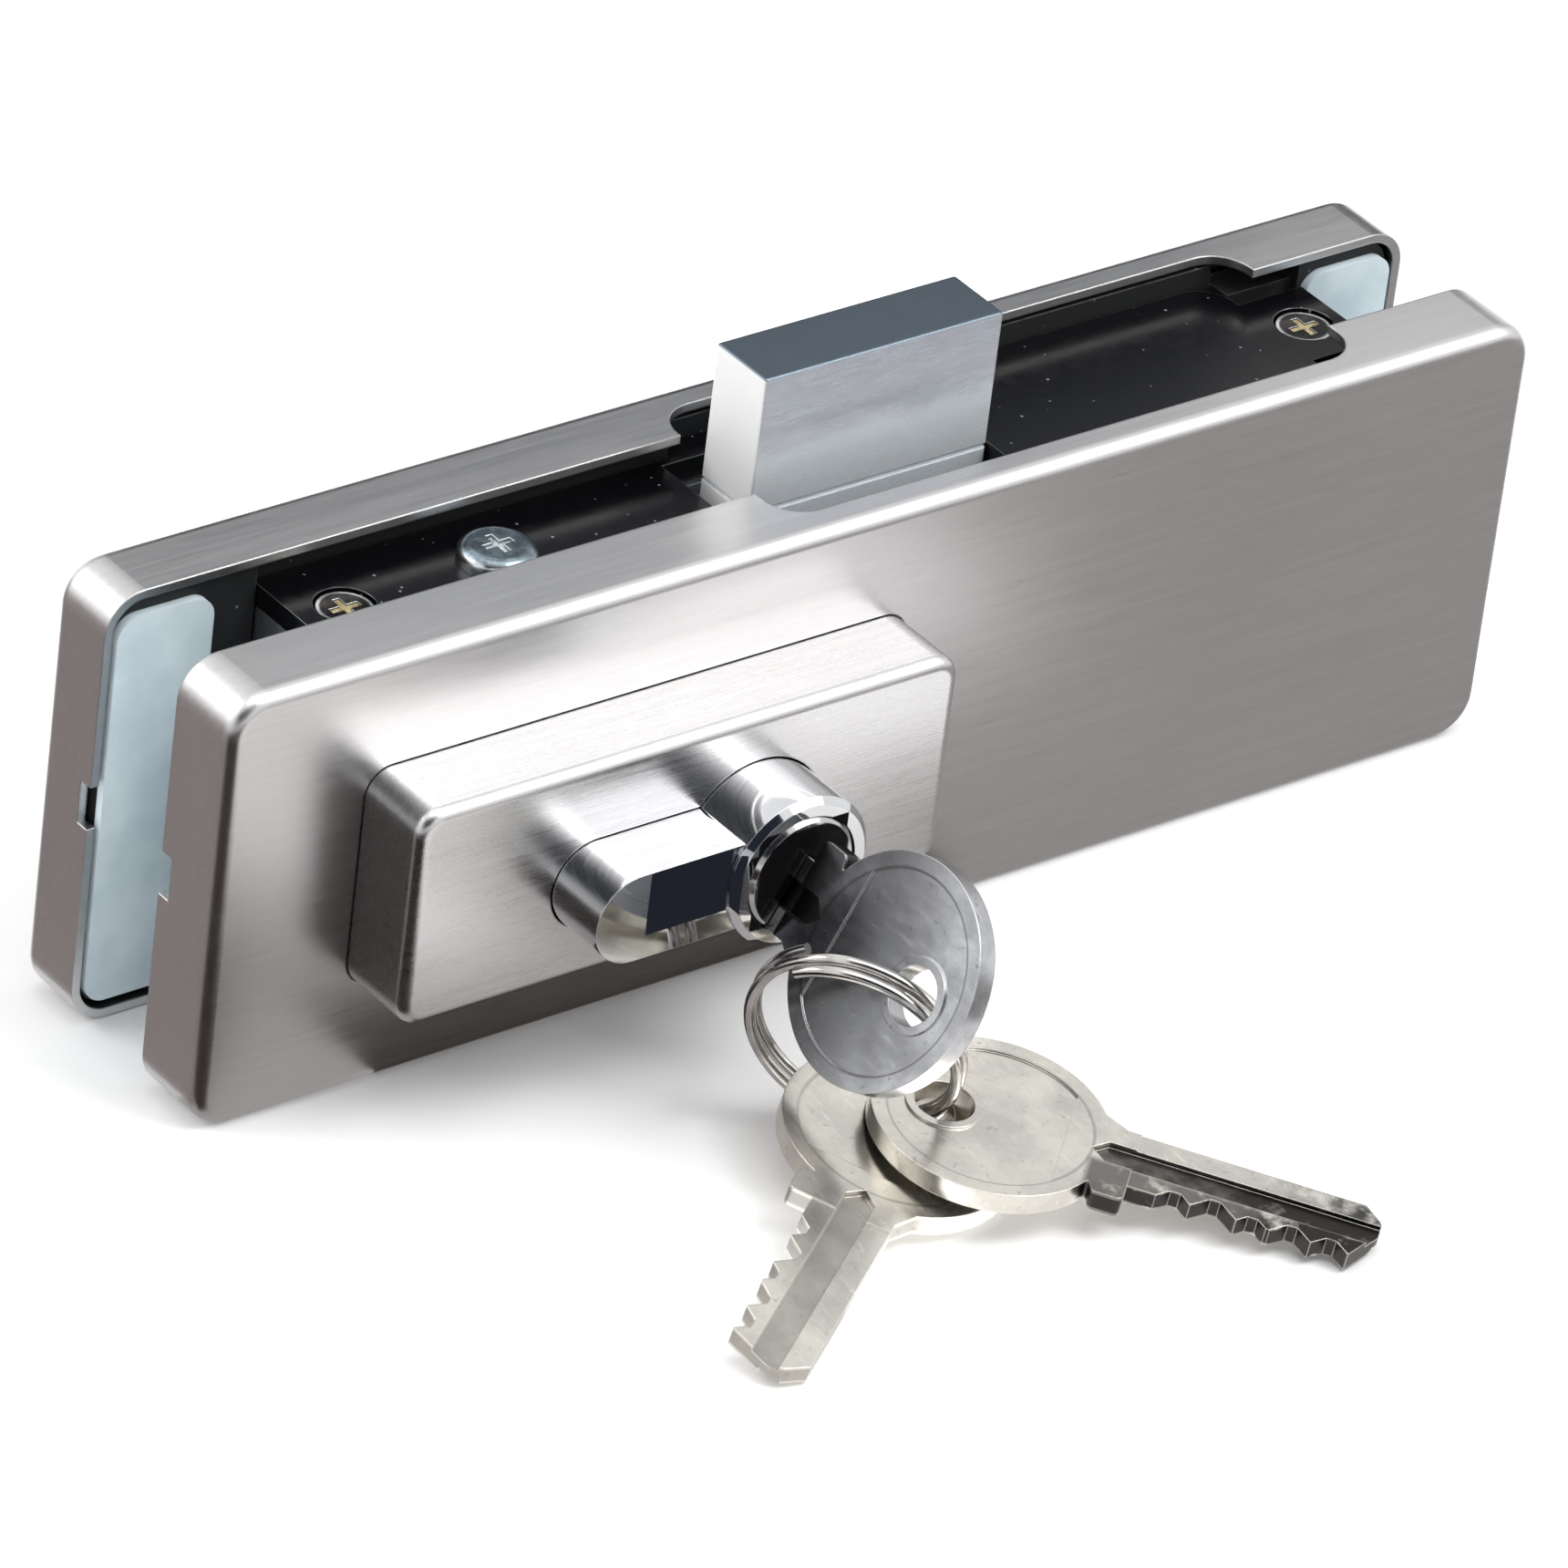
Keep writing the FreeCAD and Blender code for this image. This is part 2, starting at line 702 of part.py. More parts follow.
def lock_case():
    """The case itself."""
    base = plate(
        "case_base_block",
        "z",
        (CASE_LEFT, CASE_RIGHT),
        ("(-1 * case_half)", "case_half"),
        "case_base",
        FOREND_FOOT,
        "case_corner",
    )
    above = f"({COVER_TOP} + {OVERSHOOT})"
    cavity = box(
        "case_cavity",
        (CAVITY_LEFT, CAVITY_RIGHT),
        ("(case_wall - case_half)", f"(case_half + {OVERSHOOT})"),
        (CAVITY_FLOOR, above),
    )
    lid_seat = box(
        "case_lid_seat",
        (f"({LID_LEFT} - slip)", f"({LID_RIGHT} + slip)"),
        ("(case_half - case_lid)", f"(case_half + {OVERSHOOT})"),
        (f"({LID_LOW} - slip)", above),
    )
    tools = [cavity, lid_seat, profile_hole]
    for index, (across, up) in enumerate(CLAMP_PLACES):
        reach = f"(case_half + {OVERSHOOT})"
        hole = "(clamp_shank + screw_slip)"
        tools.append(rod(f"case_clamp_{index}", "y", hole, minus(reach), reach, across, up))
    for index, (across, up) in enumerate(LID_SCREWS):
        low = "(case_half - lid_screw_length - fit)"
        tools.append(rod(f"case_lid_hole_{index}", "y", "(lid_shank + slip)", low, "case_half", across, up))
    for index, across in enumerate(FOREND_SCREWS):
        foot = f"({FOREND_TOP} - forend_head_drop - forend_screw_length - fit)"
        tools.append(rod(f"case_forend_hole_{index}", "z", "(forend_shank + slip)", foot, above, across, "0"))
    return keep("lock_case", without("lock_case", base, tools))


def case_lid():
    """The flat lid over the works, flush with the case's rear face."""
    base = box(
        "case_lid_plate",
        (LID_LEFT, LID_RIGHT),
        ("(case_half - case_lid)", "case_half"),
        (LID_LOW, f"({FOREND_FOOT} - slip)"),
    )
    tools = [profile_hole]
    for index, (across, up) in enumerate(LID_SCREWS):
        through = f"(case_half + {OVERSHOOT})"
        tools.append(rod(f"lid_hole_{index}", "y", "(lid_shank + slip)", "0", through, across, up))
        sink = "(case_half - lid_head_wall)"
        tools.append(rod(f"lid_sink_{index}", "y", "(lid_head + slip)", sink, through, across, up))
    return keep("case_lid", without("case_lid", base, tools))


def forend():
    """The black plate over the case's top, wider where the covers are notched for the bolt."""
    corners = (
        (CASE_LEFT, "(-1 * case_half)"),
        (BULGE_LEFT, "(-1 * case_half)"),
        (BULGE_LEFT, "(-1 * bulge_half)"),
        (BULGE_RIGHT, "(-1 * bulge_half)"),
        (BULGE_RIGHT, "(-1 * forend_end_half)"),
        (CASE_RIGHT, "(-1 * forend_end_half)"),
        (CASE_RIGHT, "forend_end_half"),
        (BULGE_RIGHT, "forend_end_half"),
        (BULGE_RIGHT, "bulge_half"),
        (BULGE_LEFT, "bulge_half"),
        (BULGE_LEFT, "case_half"),
        (CASE_LEFT, "case_half"),
    )
    base = prism("forend_plate_base", "z", corners, FOREND_FOOT, FOREND_TOP)
    right_end = value(BULGE_RIGHT)
    bulge_edge = value("bulge_half")

    def bulge_corner(edge):
        place = edge.CenterOfMass
        upright = runs_along("z")(edge)
        return upright and abs(place.x - right_end) < 1e-3 and abs(abs(place.y) - bulge_edge) < 1e-3

    rounded(base, "forend_plate_corners", bulge_corner, "bulge_corner")
    above = f"({COVER_TOP} + {OVERSHOOT})"
    tools = [
        box(
            "forend_bolt_slot",
            (f"({BOLT_LEFT} - slot_left)", f"({BOLT_RIGHT} + bolt_slip)"),
            (minus("slot_half"), "slot_half"),
            (CAVITY_FLOOR, above),
        ),
        rod(
            "forend_fixing_hole", "z", "(fixing_shank + 2 * screw_slip)", CAVITY_FLOOR, above,
            "(cylinder_place - fixing_place)", "0",
        ),
    ]
    sink = f"({FOREND_TOP} - forend_head_drop - forend_head_wall)"
    for index, across in enumerate(FOREND_SCREWS):
        hole = "(forend_shank + screw_slip)"
        seat = "(forend_head + 2 * screw_slip)"
        tools.append(rod(f"forend_hole_{index}", "z", hole, CAVITY_FLOOR, above, across, "0"))
        tools.append(rod(f"forend_sink_{index}", "z", seat, sink, above, across, "0"))
    return keep("forend_plate", without("forend_plate", base, tools))


lock_case()
case_lid()
forend()


# Bolt and what guides it

LOBE_SWING = f"{math.degrees(math.asin(value('bolt_throw / 2 / lobe_centre'))):.9f}"
NOTCH_HEIGHT = f"({AXIS_HEIGHT} + bolt_throw / 2)"
NOTCH_HALF = "(lobe_radius + lobe_slip)"
PLUNGER_HEIGHT = f"({FOREND_FOOT} - plunger_drop)"
NOTCH_DEEP = "(cylinder_place + lobe_centre + lobe_radius + notch_floor)"


def bolt():
    """The dead bolt, with the lug and notch on its left side that the cam's lobe works in."""
    shank = plate(
        "bolt_shank",
        "z",
        (BOLT_LEFT, BOLT_RIGHT),
        (minus(BOLT_HALF), BOLT_HALF),
        BOLT_FOOT,
        BOLT_TOP,
        "bolt_edge",
    )
    rounded(shank, "bolt_top_edge", lies_at("z", BOLT_TOP), "bolt_top_edge")
    lug = box(
        "bolt_lug",
        (f"({BOLT_LEFT} - lug_reach)", f"({BOLT_LEFT} + lug_reach)"),
        (minus(BOLT_HALF), BOLT_HALF),
        (f"({NOTCH_HEIGHT} - lug_low)", f"({NOTCH_HEIGHT} + lug_high)"),
    )
    notch = box(
        "bolt_notch",
        (f"({BOLT_LEFT} - {OVERSHOOT})", NOTCH_DEEP),
        (f"(-1 * {BOLT_HALF} - {OVERSHOOT})", f"({BOLT_HALF} + {OVERSHOOT})"),
        (f"({NOTCH_HEIGHT} - {NOTCH_HALF})", f"({NOTCH_HEIGHT} + {NOTCH_HALF})"),
    )
    scribe_low = f"({BOLT_TOP} - scribe_drop)"
    scribe_high = f"({BOLT_TOP} - scribe_drop + scribe_width)"
    scribe_out = box(
        "bolt_scribe_out",
        (f"({BOLT_LEFT} - {OVERSHOOT})", f"({BOLT_RIGHT} + {OVERSHOOT})"),
        (f"(-1 * {BOLT_HALF} - {OVERSHOOT})", f"({BOLT_HALF} + {OVERSHOOT})"),
        (scribe_low, scribe_high),
    )
    scribe_in = box(
        "bolt_scribe_in",
        (f"({BOLT_LEFT} + scribe_depth)", f"({BOLT_RIGHT} - scribe_depth)"),
        (f"(-1 * {BOLT_HALF} + scribe_depth)", f"({BOLT_HALF} - scribe_depth)"),
        (scribe_low, scribe_high),
    )
    tools = [notch, without("bolt_scribe", scribe_out, (scribe_in,))]
    rollers = []
    for index, sign in enumerate(("-1", "1")):
        across = f"(bolt_place + {sign} * roller_space / 2)"
        low = f"({BOLT_TOP} - roller_drop - roller_length)"
        high = f"({BOLT_TOP} - roller_drop)"
        hole = (f"({low} - slip)", f"({high} + slip)")
        tools.append(rod(f"bolt_roller_hole_{index}", "z", "(roller_radius + slip)", *hole, across, "0"))
        rollers.append(rod(f"bolt_roller_{index}", "z", "roller_radius", low, high, across, "0"))
    keep("bolt", without("bolt", joined("bolt_blank", (shank, lug)), tools))
    keep("bolt_rollers", group("bolt_rollers", rollers))


def bolt_guides():
    """A guide block on the bolt's right with its sprung plunger, and a stop block above the lug."""
    inside = ("(case_wall - case_half)", "(case_half - case_lid - slip)")
    guide_left = f"({BOLT_RIGHT} + guide_slip)"
    guide_low = f"({CAVITY_FLOOR} + guide_rise)"
    across = (guide_left, f"({guide_left} + guide_width)")
    guide = box("bolt_guide_block", across, inside, (guide_low, FOREND_FOOT))
    stop_right = f"({BOLT_LEFT} - guide_slip)"
    stop = box(
        "bolt_stop_block",
        (f"({stop_right} - stop_width)", stop_right),
        inside,
        (f"({NOTCH_HEIGHT} + lug_high + stop_gap)", FOREND_FOOT),
    )
    bore_end = f"({guide_left} + plunger_length + plunger_spring + slip)"
    bore_start = f"({guide_left} - {OVERSHOOT})"
    bore = rod("plunger_bore", "x", "(plunger_radius + slip)", bore_start, bore_end, "0", PLUNGER_HEIGHT)
    keep("bolt_guide", without("bolt_guide", guide, (bore,)))
    keep("bolt_stop", stop)
    body = doc.addObject("Part::Cylinder", "plunger_body")
    body.Placement = FreeCAD.Placement(FreeCAD.Vector(), TURNS["x"])
    bind(body, "Radius", "plunger_radius")
    bind(body, "Height", "plunger_length")
    bind(body, "Placement.Base.x", guide_left)
    bind(body, "Placement.Base.z", PLUNGER_HEIGHT)
    keep("drag_plunger", body)
    spring_low = f"({guide_left} + plunger_length)"
    wire = rod(
        "drag_spring_outer", "x", "(plunger_radius - slip)", spring_low, f"({spring_low} + plunger_spring)",
        "0", PLUNGER_HEIGHT,
    )
    hollow = rod(
        "drag_spring_inner", "x", "(plunger_radius - slip - plunger_spring_wall)",
        f"({spring_low} - {OVERSHOOT})", f"({spring_low} + plunger_spring + {OVERSHOOT})", "0", PLUNGER_HEIGHT,
    )
    keep("drag_spring", without("drag_spring", wire, (hollow,)))


bolt()
bolt_guides()


# Profile cylinder

PIN_PLACES = [f"(first_pin - {index} * pin_pitch)" for index in range(len(BITTING))]
PLUG_NEAR = "(cam_slot / 2 - plug_tongue)"
CLUTCH_DEPTH = "(key_place - key_reach - clutch_tip_gap)"


def turned(item, degrees_text):
    """Turns a piece made at the barrel's own axis about that axis, from its right-hand side upwards."""
    centre = FreeCAD.Vector(value("cylinder_place"), 0, value(AXIS_HEIGHT))
    spin = FreeCAD.Rotation(FreeCAD.Vector(0, -1, 0), value(degrees_text))
    item.Placement = FreeCAD.Placement(centre, spin)
    return item


def chamfered(name, base, wanted, size):
    """Chamfers the edges of a finished solid that the test wants."""
    doc.recompute()
    edges = [index for index, edge in enumerate(base.Shape.Edges, start=1) if wanted(edge)]
    chamfer = doc.addObject("Part::Chamfer", name)
    chamfer.Base = base
    chamfer.Edges = [(index, value(size), value(size)) for index in edges]
    doc.recompute()
    return chamfer


def cylinder_body():
    """The double cylinder's body: profile, two bored barrels, the cam's slot and the pin chambers."""
    low, high = "(-1 * half_length)", "half_length"
    barrel = rod(
        "cylinder_barrel", "y", "barrel_radius", minus(BARREL_END), BARREL_END, "cylinder_place", AXIS_HEIGHT
    )
    blank = joined("cylinder_blank", (profile("cylinder_profile", "0", low, high), barrel))
    reach = value(BARREL_END) - 1e-3

    def end_edge(edge):
        return edge.BoundBox.YMin > reach or edge.BoundBox.YMax < -reach

    body = chamfered("cylinder_chamfered", blank, end_edge, "barrel_chamfer")
    bore_radius = "(plug_radius + plug_slip)"
    past_barrel = f"(barrel_radius + {OVERSHOOT})"
    past_tail = f"(tail_half + {OVERSHOOT})"
    beyond = f"({BARREL_END} + {OVERSHOOT})"
    tools = [
        rod("cylinder_bore", "y", bore_radius, minus(beyond), beyond, "cylinder_place", AXIS_HEIGHT),
        box(
            "cylinder_cam_slot",
            ("(cylinder_place - cam_slot_reach)", f"(cylinder_place + {past_barrel})"),
            ("(-1 * cam_slot / 2)", "(cam_slot / 2)"),
            (f"({AXIS_HEIGHT} - {past_barrel})", f"({AXIS_HEIGHT} + {past_barrel})"),
        ),
        rod(
            "cylinder_fixing_hole", "z", "(fixing_shank + slip)", f"({AXIS_HEIGHT} - {past_tail})",
            f"({AXIS_HEIGHT} + {past_tail})", "(cylinder_place - fixing_place)", "0",
        ),
    ]
    chamber_end = "(cylinder_place - plug_radius - driver_length - pin_spring - 2 * pin_slip)"
    for side, sign in (("front", "-1"), ("rear", "1")):
        for index, place in enumerate(PIN_PLACES):
            tools.append(
                rod(
                    f"{side}_chamber_{index}", "x", "(pin_radius + pin_slip)", chamber_end, "cylinder_place",
                    f"({sign} * {place})", AXIS_HEIGHT,
                )
            )
    return keep("cylinder_body", without("cylinder_body", body, tools))


def local_pins(name, side, foot_texts, length_texts, pointed):
    """Pins that point up from the barrel's axis, at their places along it."""
    pins = []
    sign = "-1" if side < 0 else "1"
    for index, (place, foot, length) in enumerate(zip(PIN_PLACES, foot_texts, length_texts)):
        along = f"({sign} * {place})"
        head = f"({foot} + {length})"
        if not pointed:
            pins.append(rod(f"{name}_{index}", "x", "pin_radius", foot, head, along, "0"))
            continue
        shoulder = f"({foot} + pin_radius - pin_tip)"
        shank = rod(f"{name}_shank_{index}", "x", "pin_radius", shoulder, head, along, "0")
        tip = doc.addObject("Part::Cone", f"{name}_tip_{index}")
        tip.Placement = FreeCAD.Placement(FreeCAD.Vector(), TURNS["x"])
        bind(tip, "Radius1", "pin_tip")
        bind(tip, "Radius2", "pin_radius")
        bind(tip, "Height", "pin_radius - pin_tip")
        bind(tip, "Placement.Base.x", foot)
        bind(tip, "Placement.Base.y", along)
        pins.append(joined(f"{name}_{index}", (shank, tip)))
    return group(name, pins)


def plug(name, side):
    """A plug with its keyway, pin chambers, clip groove and the slot for the clutch, pins towards +X."""
    face = f"({BARREL_END} + plug_proud)"
    blank = rod(name + "_blank", "y", "plug_radius", *span(side, PLUG_NEAR, face), "0", "0")
    face_place = value(face)

    def face_edge(edge):
        ends = (abs(edge.BoundBox.YMin), abs(edge.BoundBox.YMax))
        return max(abs(end - face_place) for end in ends) < 1e-3

    round_plug = chamfered(name + "_chamfered", blank, face_edge, "plug_chamfer")
    half_key = "(blade_thick / 2 + keyway_slip)"
    keyway = box(
        name + "_keyway",
        (f"(-1 * plug_radius - {OVERSHOOT})", "(blade_half - key_shift + keyway_slip)"),
        span(side, CLUTCH_DEPTH, f"({face} + {OVERSHOOT})"),
        (minus(half_key), half_key),
    )
    clutch_slot = box(
        name + "_clutch_slot",
        ("(-1 * clutch_span / 2 - fit)", "(clutch_span / 2 + fit)"),
        span(side, "0", f"({CLUTCH_DEPTH} + fit)"),
        ("(-1 * clutch_width / 2 - fit)", "(clutch_width / 2 + fit)"),
    )
    ring_out = rod(
        name + "_groove_out", "y", f"(plug_radius + {OVERSHOOT})",
        *span(side, f"({PLUG_NEAR} + slip)", f"({PLUG_NEAR} + slip + clip_ring_wall)"), "0", "0",
    )
    ring_in = rod(
        name + "_groove_in", "y", "(plug_radius - clip_ring_grip)", *span(side, "0", "(cam_slot)"), "0", "0"
    )
    tools = [keyway, clutch_slot, without(name + "_groove", ring_out, (ring_in,))]
    for index, place in enumerate(PIN_PLACES):
        sign = "-1" if side < 0 else "1"
        tools.append(
            rod(
                f"{name}_chamber_{index}", "x", "(pin_radius + pin_slip)", "0",
                f"(plug_radius + {OVERSHOOT})", f"({sign} * {place})", "0",
            )
        )
    return without(name, round_plug, tools)


def clip_ring(name, side):
    """The open ring in a plug's groove that keeps the plug in its barrel."""
    near = f"({PLUG_NEAR} + 1.5 * slip)"
    far = f"({PLUG_NEAR} + slip / 2 + clip_ring_wall)"
    outer = rod(name + "_outer", "y", "(plug_radius + clip_ring_reach)", *span(side, near, far), "0", "0")
    bore = "(plug_radius - clip_ring_grip + slip / 2)"
    inner = rod(name + "_inner", "y", bore, *span(side, "0", "cam_slot"), "0", "0")
    mouth_up = ("(-1 * clip_ring_mouth / 2)", "(clip_ring_mouth / 2)")
    mouth = box(name + "_mouth", ("0", f"(plug_radius + {OVERSHOOT})"), span(side, "0", "cam_slot"), mouth_up)
    return without(name, outer, (inner, mouth))


def cam():
    """The cam: a hub between the plugs and a round-nosed lobe towards +X."""
    low, high = "(-1 * cam_half)", "cam_half"
    hub = rod("cam_hub", "y", "hub_radius", low, high, "0", "0")
    neck_up = ("(-1 * lobe_neck / 2)", "(lobe_neck / 2)")
    neck = box("cam_neck", ("(hub_radius - lobe_neck / 2)", "lobe_centre"), (low, high), neck_up)
    nose = rod("cam_nose", "y", "lobe_radius", low, high, "lobe_centre", "0")
    blank = joined("cam_blank", (hub, neck, nose))
    slot_turn = value("key_turn + 180") - float(LOBE_SWING)
    slot = box(
        "cam_slot_block",
        ("(-1 * clutch_span / 2 - fit)", "(clutch_span / 2 + fit)"),
        (f"({low} - {OVERSHOOT})", f"({high} + {OVERSHOOT})"),
        ("(-1 * clutch_width / 2 - fit)", "(clutch_width / 2 + fit)"),
    )
    slot_holder = doc.addObject("Part::Compound", "cam_slot_turned")
    slot_holder.Links = [slot]
    slot_holder.Placement = FreeCAD.Placement(
        FreeCAD.Vector(), FreeCAD.Rotation(FreeCAD.Vector(0, -1, 0), slot_turn)
    )
    return without("cam", blank, (slot_holder,))


def cylinder_works():
    """The plugs, pins, springs, clutch and cam, at the rest position: front key mid-turn, bolt out."""
    pins_turn = "(key_turn + 180)"
    home_turn = "180"
    keep("front_plug", turned(plug("front_plug", -1), pins_turn))
    keep("rear_plug", turned(plug("rear_plug", 1), home_turn))
    keep("front_clip_ring", turned(clip_ring("front_clip_ring", -1), pins_turn))
    keep("rear_clip_ring", turned(clip_ring("rear_clip_ring", 1), home_turn))
    keep("cam", turned(cam(), LOBE_SWING))
    clutch = box(
        "clutch_bar",
        ("(-1 * clutch_span / 2)", "(clutch_span / 2)"),
        (minus(CLUTCH_DEPTH), "(cam_half - clutch_end_gap)"),
        ("(-1 * clutch_width / 2)", "(clutch_width / 2)"),
    )
    keep("clutch", turned(group("clutch", (clutch,)), pins_turn))
    # a front key pin stands between the blade's cut and the shear line
    feet = [f"(blade_half - key_shift - {cut} + pin_gap)" for cut in BITTING]
    lengths = [f"(plug_radius - shear_drop - {foot})" for foot in feet]
    count = len(BITTING)
    drivers = ["driver_length"] * count
    keep("front_key_pins", turned(local_pins("front_key_pins", -1, feet, lengths, True), pins_turn))
    driver_foot = "(plug_radius + plug_slip + pin_gap)"
    front_drivers = local_pins("front_driver_pins", -1, [driver_foot] * count, drivers, False)
    keep("front_driver_pins", turned(front_drivers, home_turn))
    # with no key, the rear pins sit low and their drivers cross the shear line
    rear_key_pins = local_pins("rear_key_pins", 1, ["pin_gap"] * count, lengths, True)
    keep("rear_key_pins", turned(rear_key_pins, home_turn))
    rear_feet = [f"({length} + 2 * pin_gap)" for length in lengths]
    rear_drivers = local_pins("rear_driver_pins", 1, rear_feet, drivers, False)
    keep("rear_driver_pins", turned(rear_drivers, home_turn))
    coils = []
    end = "(plug_radius + driver_length + pin_spring + pin_slip)"
    for side, name in ((-1, "front"), (1, "rear")):
        for index, place in enumerate(PIN_PLACES):
            sign = "-1" if side < 0 else "1"
            driver = driver_foot if side < 0 else rear_feet[index]
            foot = f"({driver} + driver_length + pin_gap)"
            along = f"({sign} * {place})"
            outer = rod(f"{name}_coil_{index}", "x", "pin_radius", foot, end, along, "0")
            inner = rod(
                f"{name}_coil_hollow_{index}", "x", "(pin_radius - pin_spring_wall)",
                f"({foot} - {OVERSHOOT})", f"({end} + {OVERSHOOT})", along, "0",
            )
            coils.append(without(f"{name}_coil_tube_{index}", outer, (inner,)))
    keep("pin_springs", turned(group("pin_springs", coils), home_turn))


cylinder_body()
cylinder_works()


# Keys

def key(name):
    """A key on its own axes: bow at the origin, tip towards +X, cuts towards +Y."""
    half_bow = "(bow_thick / 2)"
    half_blade = "(blade_thick / 2)"
    bow = rod(name + "_bow", "z", "bow_radius", minus(half_bow), half_bow, "0", "0")
    root = "(bow_radius ^ 2 - neck_root ^ 2) ^ 0.5"
    stop_far = "(blade_half + shoulder_height)"
    neck_corners = (
        ("neck_root", minus(root)),
        ("flare_middle", "(-1 * flare_half)"),
        ("flare_end", "(-1 * blade_half)"),
        ("key_shoulder", "(-1 * blade_half)"),
        ("key_shoulder", stop_far),
        ("(key_shoulder - shoulder_width)", stop_far),
        ("(key_shoulder - shoulder_width - shoulder_slope)", "neck_half"),
        ("neck_root", "neck_half"),
    )
    neck = prism(name + "_neck", "z", neck_corners, minus(half_bow), half_bow)
    stop_edge = value(stop_far)
    flare_place = (value("flare_middle"), -value("flare_half"))

    def stop_corner(edge):
        return runs_along("z")(edge) and abs(edge.CenterOfMass.y - stop_edge) < 1e-3

    def flare_corner(edge):
        return runs_along("z")(edge) and math.dist(flare_place, tuple(edge.CenterOfMass)[:2]) < 1e-3

    rounded(neck, name + "_shoulder_corners", stop_corner, "shoulder_corner")
    rounded(neck, name + "_flare", flare_corner, "flare_curve")
    blade_corners = (
        ("bow_field", "(-1 * blade_half)"),
        ("(key_reach - tip_heel)", "(-1 * blade_half)"),
        ("key_reach", "(tip_low - blade_half)"),
        ("key_reach", "(tip_high - blade_half)"),
        ("(key_reach - tip_slope)", "blade_half"),
        ("bow_field", "blade_half"),
    )
    blade = prism(name + "_blade", "z", blade_corners, minus(half_blade), half_blade)
    reach = value("key_reach")

    def tip_corner(edge):
        return runs_along("z")(edge) and abs(edge.CenterOfMass.x - reach) < 1e-3

    rounded(blade, name + "_tip", tip_corner, "tip_round")
    beyond = f"({half_bow} + {OVERSHOOT})"
    tools = [rod(name + "_hole", "z", "key_hole", minus(beyond), beyond, "(-1 * key_hole_place)", "0")]
    grooves = (("upper", 1, "back_groove_place", "back_groove_width"), ("lower", -1, "0", "groove_width"))
    for side, sign, middle, wide in grooves:
        skin = (f"({half_bow} - bow_recess)", beyond)
        low, high = skin if sign > 0 else (minus(skin[1]), minus(skin[0]))
        field = rod(f"{name}_{side}_field", "z", "(bow_radius - bow_rim)", low, high, "0", "0")
        boss = rod(
            f"{name}_{side}_boss", "z", "(key_hole + key_hole_rim)", low, high, "(-1 * key_hole_place)", "0"
        )
        past_field = box(
            f"{name}_{side}_past_field", ("bow_field", f"(bow_radius + {OVERSHOOT})"),
            ("(-1 * bow_radius)", "bow_radius"), (low, high),
        )
        tools.append(without(f"{name}_{side}_recess", field, (boss, past_field)))
        floor = (f"({half_blade} - groove_depth)", beyond)
        low, high = floor if sign > 0 else (minus(floor[1]), minus(floor[0]))
        near, far = f"({middle} - {wide} / 2)", f"({middle} + {wide} / 2)"
        groove_corners = (
            ("groove_start", middle),
            (f"(groove_start + {wide} / 2)", near),
            (f"(key_reach + {OVERSHOOT})", near),
            (f"(key_reach + {OVERSHOOT})", far),
            (f"(groove_start + {wide} / 2)", far),
        )
        tools.append(prism(f"{name}_{side}_groove", "z", groove_corners, low, high))
    for index, (cut, place) in enumerate(zip(BITTING, PIN_PLACES)):
        middle = f"(key_place - {place})"
        above = f"({cut} + {OVERSHOOT})"
        corners = (
            (f"({middle} - cut_flat)", f"(blade_half - {cut})"),
            (f"({middle} + cut_flat)", f"(blade_half - {cut})"),
            (f"({middle} + cut_flat + {above})", f"(blade_half + {OVERSHOOT})"),
            (f"({middle} - cut_flat - {above})", f"(blade_half + {OVERSHOOT})"),
        )
        tools.append(prism(f"{name}_cut_{index}", "z", corners, minus(beyond), beyond))
    return keep(name, without(name, joined(name + "_blank", (bow, neck, blade)), tools))


def frame_of(along, cut_side):
    """The turn that takes a key's own axes to a direction for its length and one for its cuts."""
    return FreeCAD.Rotation(along, cut_side, along.cross(cut_side), "XYZ")


def heading_frame(heading, dip, roll):
    """Axes of a loose key that lies face down: its heading in plan, its tip's dip and its roll."""
    heading, dip, roll = (math.radians(value(angle)) for angle in (heading, dip, roll))
    flat = math.cos(dip)
    along = FreeCAD.Vector(math.cos(heading) * flat, math.sin(heading) * flat, -math.sin(dip))
    level = FreeCAD.Vector(0, 0, 1).cross(along).normalize()
    up = along.cross(level)
    return along, -(level * math.cos(roll) + up * math.sin(roll))


def lock_key():
    """The key in the front plug, with its cuts against the pins."""
    turn = math.radians(value("key_turn"))
    down = FreeCAD.Vector(math.cos(turn), 0, math.sin(turn))
    axis_place = FreeCAD.Vector(value("cylinder_place"), -value("key_place"), value(AXIS_HEIGHT))
    centre = axis_place + down * value("key_shift")
    along = FreeCAD.Vector(0, 1, 0)
    item = key("lock_key")
    item.Placement = FreeCAD.Placement(centre, frame_of(along, -down))
    hole = centre - along * value("key_hole_place")
    return hole, hole + along * value("lock_slack") - down * value("lock_slack_side")


class RingLine:
    """The circle that the split ring's wire follows."""

    def __init__(self, rest):
        turn = math.radians(value("ring_turn"))
        lean = math.radians(value("ring_lean"))
        flat = math.cos(lean)
        self.radius = value("ring_radius")
        self.normal = FreeCAD.Vector(math.cos(turn) * flat, math.sin(turn) * flat, math.sin(lean))
        self.across = self.normal.cross(FreeCAD.Vector(0, 0, 1)).normalize()
        self.down = self.normal.cross(self.across)
        self.centre = rest - self.spoke(value("ring_at_lock")) * self.radius

    def spoke(self, degrees):
        """The direction from the centre at an angle round the ring."""
        angle = math.radians(degrees)
        return self.across * math.cos(angle) + self.down * math.sin(angle)

    def at(self, degrees):
        """The point of the ring at an angle."""
        return self.centre + self.spoke(degrees) * self.radius


